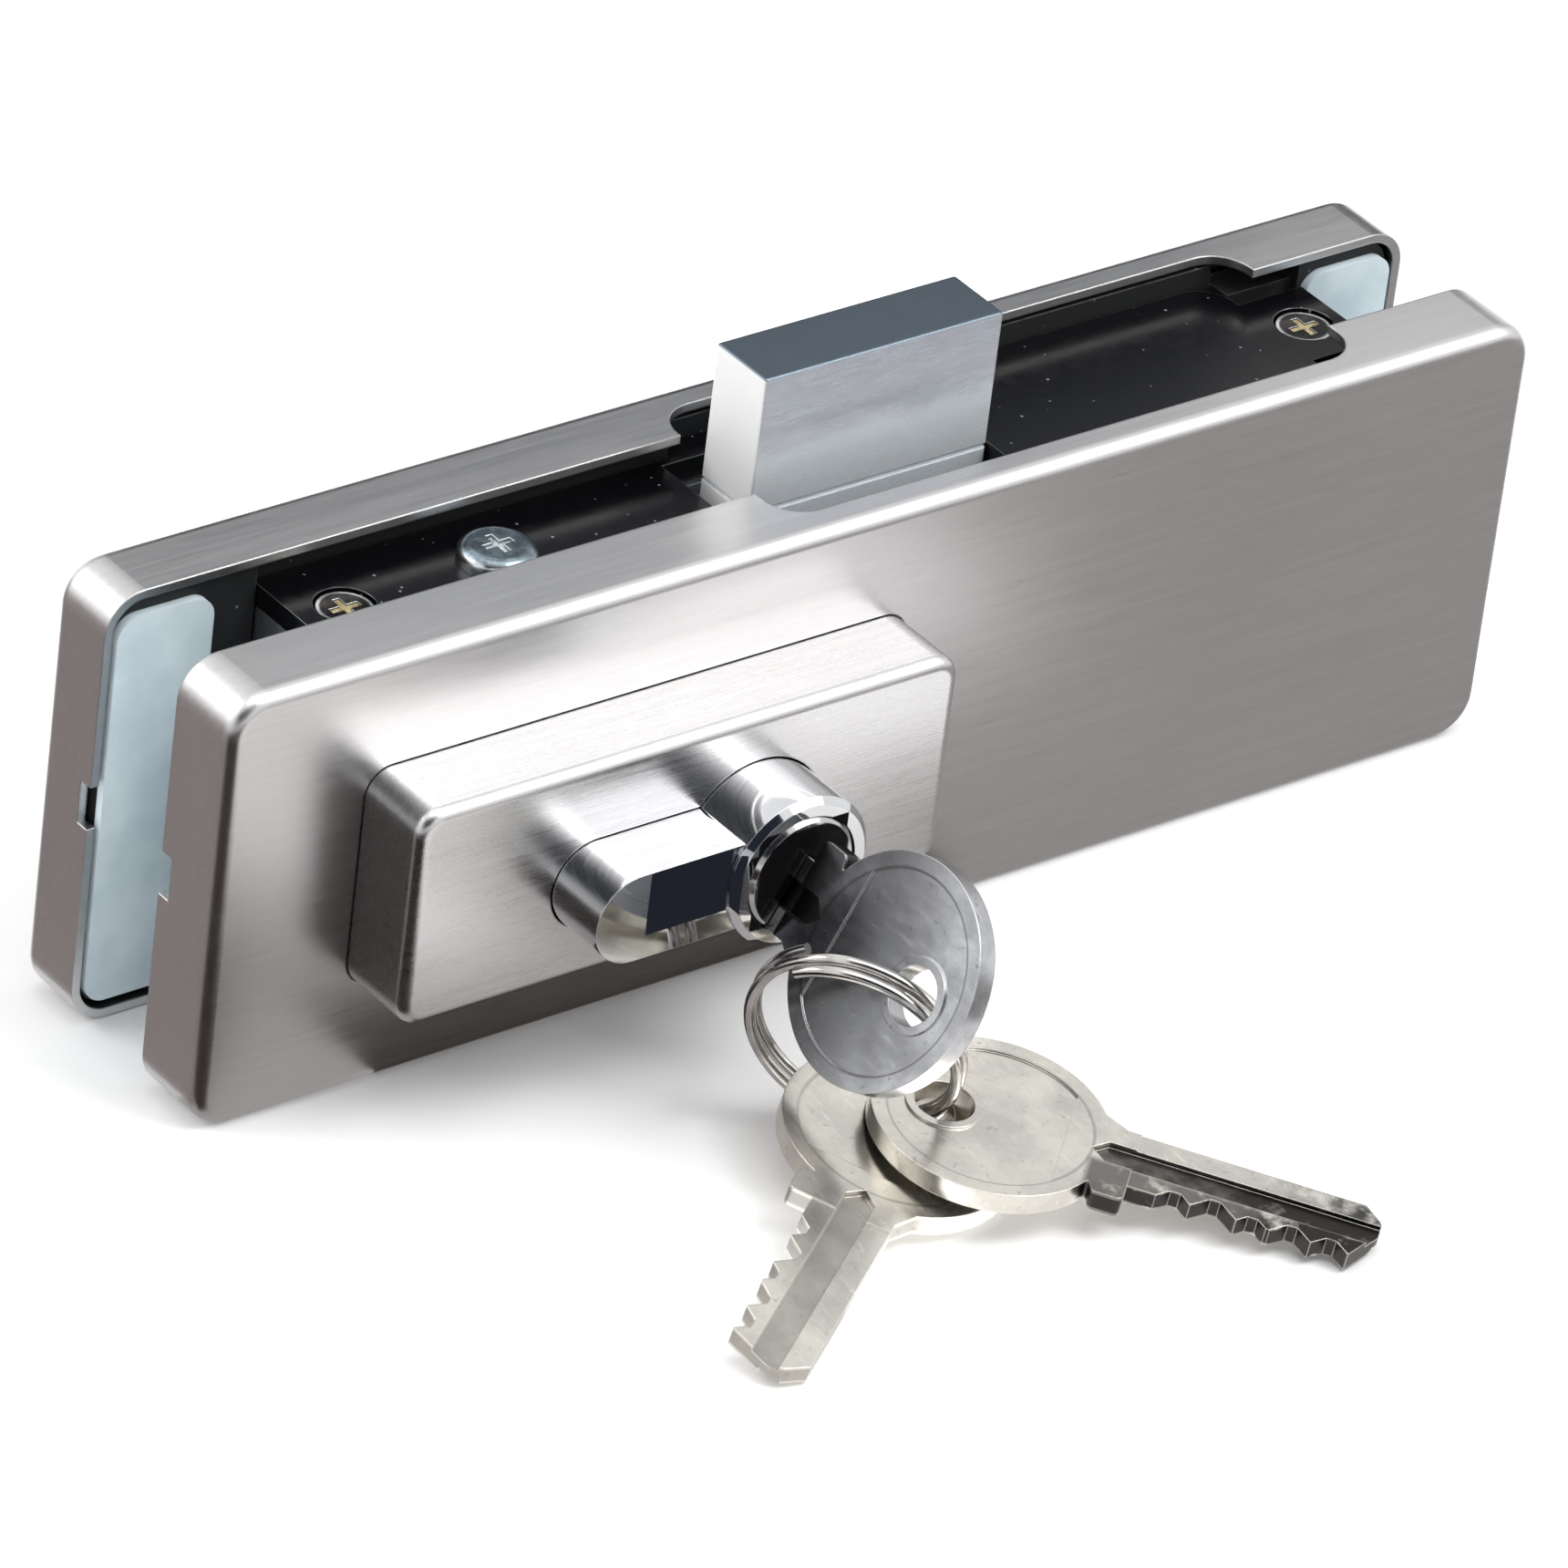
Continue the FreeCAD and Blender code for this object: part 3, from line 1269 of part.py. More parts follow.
def loose_key(name, ring):
    """A key that hangs on the ring; gives the middle of its hole and the hole's direction."""
    along, cut_side = heading_frame(name + "_heading", name + "_dip", name + "_roll")
    item = key(name + "_spare_key")
    slack = along * value(name + "_slack") + cut_side * value(name + "_slack_side")
    hole = ring.at(value("ring_at_" + name)) + slack
    centre = hole + along * value("key_hole_place")
    item.Placement = FreeCAD.Placement(centre, frame_of(along, cut_side))
    return hole, cut_side.cross(along)


def biarc(start, start_way, end, end_way):
    """Two arcs that join two points and meet both directions there."""
    chord = end - start
    ways = start_way + end_way
    spread = 2 * (1 - start_way.dot(end_way))
    along = chord.dot(ways)
    reach = (math.sqrt(along * along + spread * chord.dot(chord)) - along) / spread
    middle = (start + end + (start_way - end_way) * reach) * 0.5
    edges = []
    for near, corner, far in (
        (start, start + start_way * reach, middle),
        (middle, end - end_way * reach, end),
    ):
        half = (near + far) * 0.5
        lean = (corner - near).getAngle(far - near)
        rise = (far - near).Length / 2 * math.tan(lean / 2)
        edges.append(Part.Arc(near, half + (corner - half).normalize() * rise, far).toShape())
    return edges


def split_ring(ring):
    """Two turns of wire side by side, as one tube that climbs steadily."""
    pieces_per_turn = 4
    turns = 2
    rise = value("ring_pitch")
    wire = value("ring_wire")
    start = value("ring_at_lock - ring_lead")
    middle = 180.0 * turns + value("ring_bias")

    def place(swept):
        return ring.at(start + swept) + ring.normal * (rise * (swept - middle) / 360.0)

    def way(swept):
        climb = ring.normal * (rise / (2 * math.pi))
        return (ring.spoke(start + swept + 90) * ring.radius + climb).normalize()

    edges = []
    for step in range(turns * pieces_per_turn):
        low, high = (360.0 / pieces_per_turn * (step + end) for end in (0, 1))
        edges += biarc(place(low), way(low), place(high), way(high))
    path = Part.Wire(edges)
    section = Part.Wire([Part.makeCircle(wire, place(0), way(0))])
    item = doc.addObject("Part::Feature", "split_ring")
    item.Shape = path.makePipeShell([section], True, False)
    line = [point for edge in edges for point in edge.discretize(40)]
    far_apart = len(line) // (turns * 2)
    least = min(
        first.distanceToPoint(second)
        for index, first in enumerate(line)
        for second in line[index + far_apart:]
    )
    print(f"split ring: least gap to itself {least - 2 * wire:.2f} mm, volume {item.Shape.Volume:.2f} mm3")
    print(f"split ring: section times length {math.pi * wire ** 2 * path.Length:.2f} mm3")
    return keep("split_ring", item)


lock_hole, ring_rest = lock_key()
ring = RingLine(ring_rest)
split_ring(ring)
first_hinge = loose_key("first", ring)
second_hinge = loose_key("second", ring)


# Screws

def forend_screws():
    """Two recessed cross-head screws that hold the forend to the case."""
    screws = []
    top = f"({FOREND_TOP} - forend_head_drop)"
    for index, across in enumerate(FOREND_SCREWS):
        under = f"({top} - forend_head_wall)"
        foot = f"({top} - forend_screw_length)"
        head = rod(f"forend_screw_head_{index}", "z", "forend_head", under, top, across, "0")
        shank = rod(f"forend_screw_shank_{index}", "z", "forend_shank", foot, top, across, "0")
        recess = cross_recess(f"forend_screw_cross_{index}", "z", top, across, "0")
        blank = joined(f"forend_screw_blank_{index}", (head, shank))
        screws.append(without(f"forend_screw_{index}", blank, (recess,)))
    return keep("forend_screws", group("forend_screws", screws))


def fixing_screw():
    """The pan-head screw that passes through the forend into the cylinder's tail."""
    across = "(cylinder_place - fixing_place)"
    top = f"({FOREND_TOP} + fixing_head_wall)"
    head = rod("fixing_screw_head", "z", "fixing_head", FOREND_TOP, top, across, "0")
    head_top = value(top)

    def rim(edge):
        return abs(edge.BoundBox.ZMin - head_top) < 1e-3

    doc.recompute()
    edges = [index for index, edge in enumerate(head.Shape.Edges, start=1) if rim(edge)]
    crowned = doc.addObject("Part::Fillet", "fixing_screw_crown")
    crowned.Base = head
    crown = value("fixing_crown")
    crowned.Edges = [(index, crown, crown) for index in edges]
    foot = f"({AXIS_HEIGHT} - tail_half + fixing_foot_gap)"
    shank = rod("fixing_screw_shank", "z", "fixing_shank", foot, FOREND_TOP, across, "0")
    recess = cross_recess("fixing_screw_cross", "z", top, across, "0")
    blank = joined("fixing_screw_blank", (crowned, shank))
    return keep("cylinder_fixing_screw", without("cylinder_fixing_screw", blank, (recess,)))


def clamp_screws():
    """Four cap screws that pull the two clamp plates together through the case."""
    top = plate_far("rear_depth")
    screws = []
    for index, (across, up) in enumerate(CLAMP_PLACES):
        under = f"({top} - clamp_head_wall)"
        crown = f"({top} - clamp_head_sink)"
        foot = "(-1 * (case_half + clamp_grip))"
        head = rod(f"clamp_screw_head_{index}", "y", "clamp_head", under, crown, across, up)
        shank = rod(f"clamp_screw_shank_{index}", "y", "clamp_shank", foot, crown, across, up)
        recess = cross_recess(f"clamp_screw_cross_{index}", "y", crown, across, up)
        blank = joined(f"clamp_screw_blank_{index}", (head, shank))
        screws.append(without(f"clamp_screw_{index}", blank, (recess,)))
    return keep("clamp_screws", group("clamp_screws", screws))


def lid_screws():
    """Four small screws that hold the case's lid."""
    screws = []
    for index, (across, up) in enumerate(LID_SCREWS):
        under = "(case_half - lid_head_wall)"
        foot = "(case_half - lid_screw_length)"
        head = rod(f"lid_screw_head_{index}", "y", "lid_head", under, "case_half", across, up)
        shank = rod(f"lid_screw_shank_{index}", "y", "lid_shank", foot, "case_half", across, up)
        screws.append(joined(f"lid_screw_{index}", (head, shank)))
    return keep("lid_screws", group("lid_screws", screws))


forend_screws()
fixing_screw()
clamp_screws()
lid_screws()


# Checks and export

doc.recompute()
faults = [item.Name for item in doc.Objects if {"Invalid", "Error"} & set(item.State)]
for name, item in pieces.items():
    if item.Shape.isNull() or not item.Shape.isValid() or not item.Shape.Solids:
        faults.append(name)
if faults:
    raise RuntimeError("not sound: " + ", ".join(faults))
os.makedirs("parts", exist_ok=True)
for name, item in pieces.items():
    item.Shape.exportStep(f"parts/{name}.step")
    print(f"{name}: {len(item.Shape.Solids)} solid(s), {item.Shape.Volume:.1f} mm3")
print("ring turns about", lock_hole)
print("first spare key turns about", *first_hinge)
print("second spare key turns about", *second_hinge)
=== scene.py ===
"""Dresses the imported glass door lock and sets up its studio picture.

The lock clamps the edge of a frameless glass door. Two sheet covers hide the clamp, a profile
cylinder passes through both, and a bolt comes out of the black forend between them. A key is in
the front plug, and a split ring holds it with two spare keys. Lengths are in metres and angles
in degrees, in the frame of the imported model: X along the lock, -Y towards the camera, Z up.
"""

import logging
import math
from dataclasses import dataclass, field
from enum import Enum

import bmesh
import bpy
from mathutils import Matrix, Quaternion, Vector

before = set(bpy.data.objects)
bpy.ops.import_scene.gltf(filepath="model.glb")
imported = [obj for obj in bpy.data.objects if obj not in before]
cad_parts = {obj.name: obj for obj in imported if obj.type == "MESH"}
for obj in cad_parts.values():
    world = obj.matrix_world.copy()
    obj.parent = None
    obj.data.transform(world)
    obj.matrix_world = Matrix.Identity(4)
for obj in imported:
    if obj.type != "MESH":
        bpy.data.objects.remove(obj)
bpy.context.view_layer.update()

LOG = logging.getLogger("door_lock")

Colour = tuple[float, float, float]
Place = tuple[float, float, float]
Span = tuple[float, float]
Number = "Signal | float"

MM = 0.001
OPAQUE = 1.0
WHITE: Colour = (1.0, 1.0, 1.0)
ORIGIN: Place = (0.0, 0.0, 0.0)
FRONTWARDS: Place = (0.0, -1.0, 0.0)
# The value that every noise swings about, and the middle of a blend.
MIDDLE = 0.5
# How finely the rounded normal is found, and how far it leaves the true one at a full edge.
EDGE_SAMPLES = 4
FULL_EDGE = 0.12


class Axis(Enum):
    """An axis of the frame, as a direction."""

    X = (1.0, 0.0, 0.0)
    Y = (0.0, 1.0, 0.0)
    Z = (0.0, 0.0, 1.0)


def shaded(colour: Colour, share: float, lift: float = 0.0) -> Colour:
    """A colour times a share, plus a lift, with no part over 1."""
    return tuple(min(1.0, share * part + lift) for part in colour)


class Signal:
    """A socket of a graph. Arithmetic on it adds Math nodes."""

    def __init__(self, graph: "Graph", socket: bpy.types.NodeSocket) -> None:
        """Keeps the graph and the output socket that carries the value."""
        self.graph = graph
        self.socket = socket

    def _math(self, operation: str, *values: Number, clamp: bool = False) -> "Signal":
        """The value of a Math node with these inputs, held between 0 and 1 if clamp is set."""
        settings = {"operation": operation, "use_clamp": clamp}
        return self.graph.node("ShaderNodeMath", settings, dict(enumerate(values)))

    def __add__(self, other: Number) -> "Signal":
        """self + other."""
        return self._math("ADD", self, other)

    def __radd__(self, other: float) -> "Signal":
        """other + self."""
        return self._math("ADD", other, self)

    def __sub__(self, other: Number) -> "Signal":
        """self - other."""
        return self._math("SUBTRACT", self, other)

    def __rsub__(self, other: float) -> "Signal":
        """other - self."""
        return self._math("SUBTRACT", other, self)

    def __mul__(self, other: Number) -> "Signal":
        """self * other."""
        return self._math("MULTIPLY", self, other)

    def __rmul__(self, other: float) -> "Signal":
        """other * self."""
        return self._math("MULTIPLY", other, self)

    def __pow__(self, other: Number) -> "Signal":
        """self raised to other."""
        return self._math("POWER", self, other)

    def __neg__(self) -> "Signal":
        """self with its sign changed."""
        return self._math("MULTIPLY", self, -1.0)

    def clamped(self) -> "Signal":
        """The value held between 0 and 1."""
        return self._math("ADD", self, 0.0, clamp=True)

    def least(self, other: Number) -> "Signal":
        """The lesser of self and other."""
        return self._math("MINIMUM", self, other)

    def most(self, other: Number) -> "Signal":
        """The greater of self and other."""
        return self._math("MAXIMUM", self, other)

    def size(self) -> "Signal":
        """The value without its sign."""
        return self._math("ABSOLUTE", self)

    def span(self, other: "Signal") -> "Signal":
        """The slope over self and other, which stand at a right angle."""
        return (self * self + other * other) ** 0.5

    def centred(self) -> "Signal":
        """A noise counted from its middle."""
        return self - MIDDLE

    def step(self, low: float, high: float) -> "Signal":
        """A smooth step of the value.

        Args:
            low: the value at which the step is 0.
            high: the value at which the step is 1. It may be the lower of the two.

        Returns:
            The step, from 0 to 1.
        """
        ends = {"Value": self, "From Min": low, "From Max": high}
        if low > high:
            ends = {"Value": self, "From Min": high, "From Max": low, "To Min": 1.0, "To Max": 0.0}
        return self.graph.node("ShaderNodeMapRange", {"interpolation_type": "SMOOTHSTEP"}, ends)

    def step_near(self, end: float, insets: Span) -> "Signal":
        """A smooth step between two values that are short of an end by the insets."""
        return self.step(end - insets[0], end - insets[1])


def uneven(level: Number, patterns: tuple[Signal, ...], swings: tuple[float, ...]) -> Signal:
    """A level that patterns move up and down.

    Args:
        level: the middle level.
        patterns: the noises.
        swings: how far each noise moves the level, from its lowest to its highest.

    Returns:
        The level at each place.
    """
    for pattern, swing in zip(patterns, swings):
        level = level + pattern.centred() * swing
    return level


class Graph:
    """The node tree of one material or world."""

    def __init__(self, owner: bpy.types.Material | bpy.types.World) -> None:
        """Gives the owner an empty tree.

        Args:
            owner: the material or world.
        """
        owner.use_nodes = True
        self.owner = owner
        self.tree = owner.node_tree
        self.tree.nodes.clear()

    def node(
        self,
        kind: str,
        settings: dict[str, object] | None = None,
        inputs: dict[str | int, object] | None = None,
        output: str | int = 0,
    ) -> Signal:
        """Adds any node.

        Args:
            kind: the node's type.
            settings: its own settings.
            inputs: values or signals for its sockets, by name or number.
            output: the socket that is handed back.

        Returns:
            The signal of that output.
        """
        made = self.tree.nodes.new(kind)
        for key, setting in (settings or {}).items():
            setattr(made, key, setting)
        for key, value in (inputs or {}).items():
            if isinstance(value, Signal):
                self.tree.links.new(value.socket, made.inputs[key])
            else:
                made.inputs[key].default_value = value
        return Signal(self, made.outputs[output])

    def place(self, stretch: Place = (1.0, 1.0, 1.0), turn: float = 0.0) -> Signal:
        """Object coordinates, stretched.

        Args:
            stretch: how much each axis is multiplied by.
            turn: degrees that the stretched vector is then turned about Z.

        Returns:
            The vector.
        """
        point = self.node("ShaderNodeTexCoord", output="Object")
        inputs = {"Vector": point, "Scale": stretch, "Rotation": (0, 0, math.radians(turn))}
        return self.node("ShaderNodeMapping", None, inputs)

    def dot(self, first: Signal, second: Signal | Place) -> Signal:
        """The dot product of two vectors."""
        settings = {"operation": "DOT_PRODUCT"}
        return self.node("ShaderNodeVectorMath", settings, {0: first, 1: second}, "Value")

    def measure(self, direction: Place, origin: Place) -> Signal:
        """How far the surface is from an origin along a unit direction, in metres."""
        along = self.dot(self.node("ShaderNodeTexCoord", output="Object"), direction)
        return along - sum(part * start for part, start in zip(direction, origin))

    def beyond(self, axis: Axis, start: float) -> Signal:
        """How far the surface is past a place on an axis."""
        return self.measure(axis.value, tuple(start * part for part in axis.value))

    def noise(self, place: Signal, scale: float, detail: float = 2.0, rough: float = 0.5) -> Signal:
        """A cloudy pattern from 0 to 1, of this scale to the metre and with finer layers."""
        inputs = {"Vector": place, "Scale": scale, "Detail": detail, "Roughness": rough}
        return self.node("ShaderNodeTexNoise", {"noise_dimensions": "3D"}, inputs)

    def blend(self, share: Number, first: Signal | Colour, second: Signal | Colour) -> Signal:
        """A colour between two.

        Args:
            share: 0 for the first and 1 for the second.
            first: the one colour.
            second: the other colour.

        Returns:
            The colour.
        """
        ends = [
            (*value, OPAQUE) if isinstance(value, tuple) else value for value in (first, second)
        ]
        settings = {"data_type": "RGBA", "blend_type": "MIX"}
        return self.node("ShaderNodeMix", settings, {0: share, 6: ends[0], 7: ends[1]}, 2)

    def soft_edges(self, radius: float) -> Signal:
        """The surface normal, rounded over at the edges by a radius."""
        return self.node("ShaderNodeBevel", {"samples": EDGE_SAMPLES}, {"Radius": radius})

    def edges(self, rounded: Signal) -> Signal:
        """1 where the rounded normal shows a full edge, and 0 away from edges."""
        true = self.node("ShaderNodeNewGeometry", output="Normal")
        return (1.0 - self.dot(rounded, true)).step(0.0, FULL_EDGE)

    def bump(
        self, height: Signal, distance: float, strength: float, normal: Signal | None = None
    ) -> Signal:
        """A normal disturbed by a height.

        Args:
            height: the height, as a share of distance.
            distance: the height's scale in metres.
            strength: how much of it is used.
            normal: the normal that it starts from, if not the surface's own.

        Returns:
            The normal.
        """
        inputs = {"Height": height, "Distance": distance, "Strength": strength}
        if normal is not None:
            inputs["Normal"] = normal
        return self.node("ShaderNodeBump", None, inputs)

    def finish(self, colour: Signal, **sockets: Number) -> bpy.types.Material:
        """Adds the surface shader and the output.

        Args:
            colour: the base colour.
            **sockets: the shader's other inputs, with _ for a space.

        Returns:
            The material.
        """
        inputs = {"Base Color": colour}
        for key, value in sockets.items():
            inputs[key.replace("_", " ").title().replace("Ior", "IOR")] = value
        self.end("ShaderNodeOutputMaterial", self.node("ShaderNodeBsdfPrincipled", None, inputs))
        return self.owner

    def end(self, kind: str, shader: Signal) -> None:
        """Joins a shader to an output of a kind."""
        output = self.tree.nodes.new(kind)
        self.tree.links.new(shader.socket, output.inputs["Surface"])


@dataclass(frozen=True)
class Finish:
    """What a surface is made of and how it is worked."""

    name: str
    depth: float = 0.02 * MM
    bumpiness: float = 0.35

    def material(self) -> bpy.types.Material:
        """The finish's material, made once."""
        made = bpy.data.materials.get(self.name)
        return made or self.make(Graph(bpy.data.materials.new(self.name)))

    def make(self, graph: Graph) -> bpy.types.Material:
        """Builds the material in an empty graph."""
        raise NotImplementedError

    def relief(self, graph: Graph, height: Signal, normal: Signal | None = None) -> Signal:
        """The normal with the finish's own relief on it."""
        return graph.bump(height, self.depth, self.bumpiness, normal)


@dataclass(frozen=True)
class BrushedSteel(Finish):
    """Stainless sheet, brushed in one direction."""

    colour: Colour = (0.66, 0.652, 0.652)
    roughness: float = 0.32
    grain_axis: Axis = Axis.X
    line: float = 0.13 * MM
    run: float = 6.0 * MM
    broad_scale: float = 0.16
    fine_share: float = 0.65
    cloud_scale: float = 26.0
    cloud_stretch: Place = (1.0, 1.6, 1.6)
    shade_swings: Span = (1.3, 0.25)
    gloss_swings: Span = (0.22, 0.08)
    dark: float = 0.83
    light: float = 1.12
    edge: float = 0.25 * MM
    edge_wear_and_highlight: float = 0.35
    depth: float = 0.012 * MM
    bumpiness: float = 0.6

    def make(self, graph: Graph) -> bpy.types.Material:
        """Fine long scratches that change the colour, the gloss and the relief, with edges
        lightened by rubbing and a painted highlight.

        Args:
            graph: the material's empty graph.

        Returns:
            The material.
        """
        shrink = self.line / self.run
        place = graph.place(tuple(shrink if part else 1.0 for part in self.grain_axis.value))
        fine = graph.noise(place, 1 / self.line, detail=3.0, rough=0.65)
        broad = graph.noise(place, self.broad_scale / self.line)
        cloud = graph.noise(graph.place(self.cloud_stretch), self.cloud_scale, detail=3.0)
        grain = fine * self.fine_share + broad * (1.0 - self.fine_share)
        swing = grain.centred() * self.shade_swings[0] + cloud.centred() * self.shade_swings[1]
        rounded = graph.soft_edges(self.edge)
        light = shaded(self.colour, self.light)
        shade = (swing + MIDDLE).clamped()
        colour = graph.blend(shade, shaded(self.colour, self.dark), light)
        # Edges lightened: rubbing and a painted edge highlight.
        colour = graph.blend(graph.edges(rounded) * self.edge_wear_and_highlight, colour, light)
        rough = uneven(self.roughness, (grain, cloud), self.gloss_swings)
        relief = self.relief(graph, fine, rounded)
        return graph.finish(colour, metallic=1.0, roughness=rough, normal=relief)


@dataclass(frozen=True)
class BrightPlating(Finish):
    """Polished nickel and chromium plate."""

    colour: Colour = (0.74, 0.75, 0.77)
    roughness: float = 0.05
    wipe_scale: float = 420.0
    wipe_stretch: Place = (1.0, 2.2, 1.0)
    wipe_step: Span = (0.52, 0.75)
    wipe_dulls: float = 0.06
    haze_scale: float = 90.0
    haze_step: Span = (0.3, 0.7)
    haze_swing: float = 0.04
    dark: float = 0.93
    edge: float = 0.12 * MM
    bumpiness: float = 0.25

    def make(self, graph: Graph) -> bpy.types.Material:
        """A mirror with faint wipe marks.

        Args:
            graph: the material's empty graph.

        Returns:
            The material.
        """
        streaks = graph.place(self.wipe_stretch)
        wipes = graph.noise(streaks, self.wipe_scale, detail=4.0, rough=0.6)
        haze = graph.noise(graph.place(), self.haze_scale)
        wiped = self.roughness + wipes.step(*self.wipe_step) * self.wipe_dulls
        rough = uneven(wiped, (haze,), (self.haze_swing,))
        dark = shaded(self.colour, self.dark)
        colour = graph.blend(haze.step(*self.haze_step), dark, self.colour)
        relief = self.relief(graph, haze, graph.soft_edges(self.edge))
        return graph.finish(colour, metallic=1.0, roughness=rough, normal=relief)


@dataclass(frozen=True)
class Skin:
    """What varies over a plated surface."""

    colour: Signal
    rough: Signal
    relief: Signal


@dataclass(frozen=True)
class SatinPlating(Finish):
    """Dull nickel plate with stains, fine marks and edges brightened by rubbing and a painted
    highlight.
    """

    colour: Colour = (0.66, 0.67, 0.68)
    stain: Colour = (0.36, 0.42, 0.46)
    roughness: float = 0.26
    mark: float = 5.0 * MM
    cloud_stretch: Place = (1.0, 1.0, 1.7)
    cloud_step: Span = (0.50, 0.72)
    cloud_stains: float = 0.55
    fleck_scale: float = 5.0
    fleck_step: Span = (0.62, 0.74)
    fleck_stains: float = 0.35
    scratch_scale: float = 16.0
    scratch_stretch: Place = (0.10, 1.0, 1.0)
    scratch_turn: float = 24.0
    scratch_step: Span = (0.35, 0.7)
    scratch_share: float = 0.6
    light: float = 1.18
    edge: float = 0.22 * MM
    edge_wear_and_highlight: float = 0.6
    wear_shines: float = 0.08
    gloss_swings: Span = (0.16, 0.12)

    def skin(self, graph: Graph) -> Skin:
        """Cloudy stains under fine scratches.

        Args:
            graph: the material's graph.

        Returns:
            The colour, roughness and normal.
        """
        streaks = graph.place(self.scratch_stretch, self.scratch_turn)
        cloud = graph.noise(graph.place(self.cloud_stretch), 1 / self.mark, detail=4.0, rough=0.6)
        fleck = graph.noise(graph.place(), self.fleck_scale / self.mark, detail=3.0, rough=0.7)
        scratch = graph.noise(streaks, self.scratch_scale / self.mark, detail=3.0, rough=0.7)
        stained = cloud.step(*self.cloud_step) * self.cloud_stains
        stained = stained + fleck.step(*self.fleck_step) * self.fleck_stains
        rounded = graph.soft_edges(self.edge)
        worn_and_lit = graph.edges(rounded)
        light = shaded(self.colour, self.light)
        colour = graph.blend(scratch.step(*self.scratch_step), self.colour, light)
        colour = graph.blend(stained.clamped(), colour, self.stain)
        # Edges brightened: rubbing and a painted edge highlight.
        colour = graph.blend(worn_and_lit * self.edge_wear_and_highlight, colour, light)
        rough = uneven(self.roughness, (cloud, scratch), self.gloss_swings)
        rough = rough - worn_and_lit * self.wear_shines
        height = scratch * self.scratch_share + fleck * (1.0 - self.scratch_share)
        return Skin(colour, rough, self.relief(graph, height, rounded))

    def make(self, graph: Graph) -> bpy.types.Material:
        """The skin on plain metal."""
        skin = self.skin(graph)
        return graph.finish(skin.colour, metallic=1.0, roughness=skin.rough, normal=skin.relief)


@dataclass(frozen=True)
class PaintedLightPlating(SatinPlating):
    """Dull plate on a block, with pale ends as a painted highlight, a top darkened as painted shade
    and a foot lightened as painted light.
    """

    edge_wear_and_highlight: float = 0.25
    face_metal: float = 0.2
    middle: float = 0.0
    half: float = 1.0 * MM
    ground: Colour = (0.98, 0.98, 0.98)
    painted_end_highlight_step: Span = (0.2 * MM, 0.05 * MM)
    painted_end_highlight_share: float = 0.95
    end_roughness: float = 0.5
    end_metal: float = 0.05
    painted_foot_light: Colour = (0.86, 0.92, 0.96)
    painted_foot_light_step: Span = (-5.0 * MM, -11.0 * MM)
    painted_foot_light_share: float = 0.85
    smear_scale: float = 260.0
    smear_stretch: Place = (0.25, 1.0, 1.0)
    smear_swing: float = 5.0 * MM
    crown: float = 61.6 * MM
    top_shade_colour: Colour = (0.15, 0.19, 0.23)
    crown_step: Span = (-0.25 * MM, -0.1 * MM)
    top_shade_share: float = 0.95

    def make(self, graph: Graph) -> bpy.types.Material:
        """Lays the painted highlight on the ends, the painted light on the foot and the painted
        shade on the top over the skin.

        Args:
            graph: the material's empty graph.

        Returns:
            The material.
        """
        skin = self.skin(graph)
        streaks = graph.place(self.smear_stretch)
        smear = graph.noise(streaks, self.smear_scale, detail=3.0, rough=0.6)
        # The pale ends are a painted highlight.
        ends = graph.beyond(Axis.X, self.middle).size().step_near(self.half, self.painted_end_highlight_step)
        height = graph.beyond(Axis.Z, self.crown)
        # The pale foot is painted light, against the shade that the covers cast on it.
        painted_foot_light = uneven(height, (smear,), (self.smear_swing,)).step(*self.painted_foot_light_step)
        painted_foot_light = painted_foot_light * (1.0 - ends) * self.painted_foot_light_share
        # The dark top is painted shade.
        top = height.step(*self.crown_step)
        colour = graph.blend(ends * self.painted_end_highlight_share, skin.colour, self.ground)
        colour = graph.blend(painted_foot_light, colour, self.painted_foot_light)
        colour = graph.blend(top * self.top_shade_share, colour, self.top_shade_colour)
        rough = skin.rough + ends * (self.end_roughness - self.roughness)
        metal = self.face_metal + top * (1.0 - self.face_metal)
        metal = metal - ends * (self.face_metal - self.end_metal)
        return graph.finish(colour, metallic=metal, roughness=rough, normal=skin.relief)


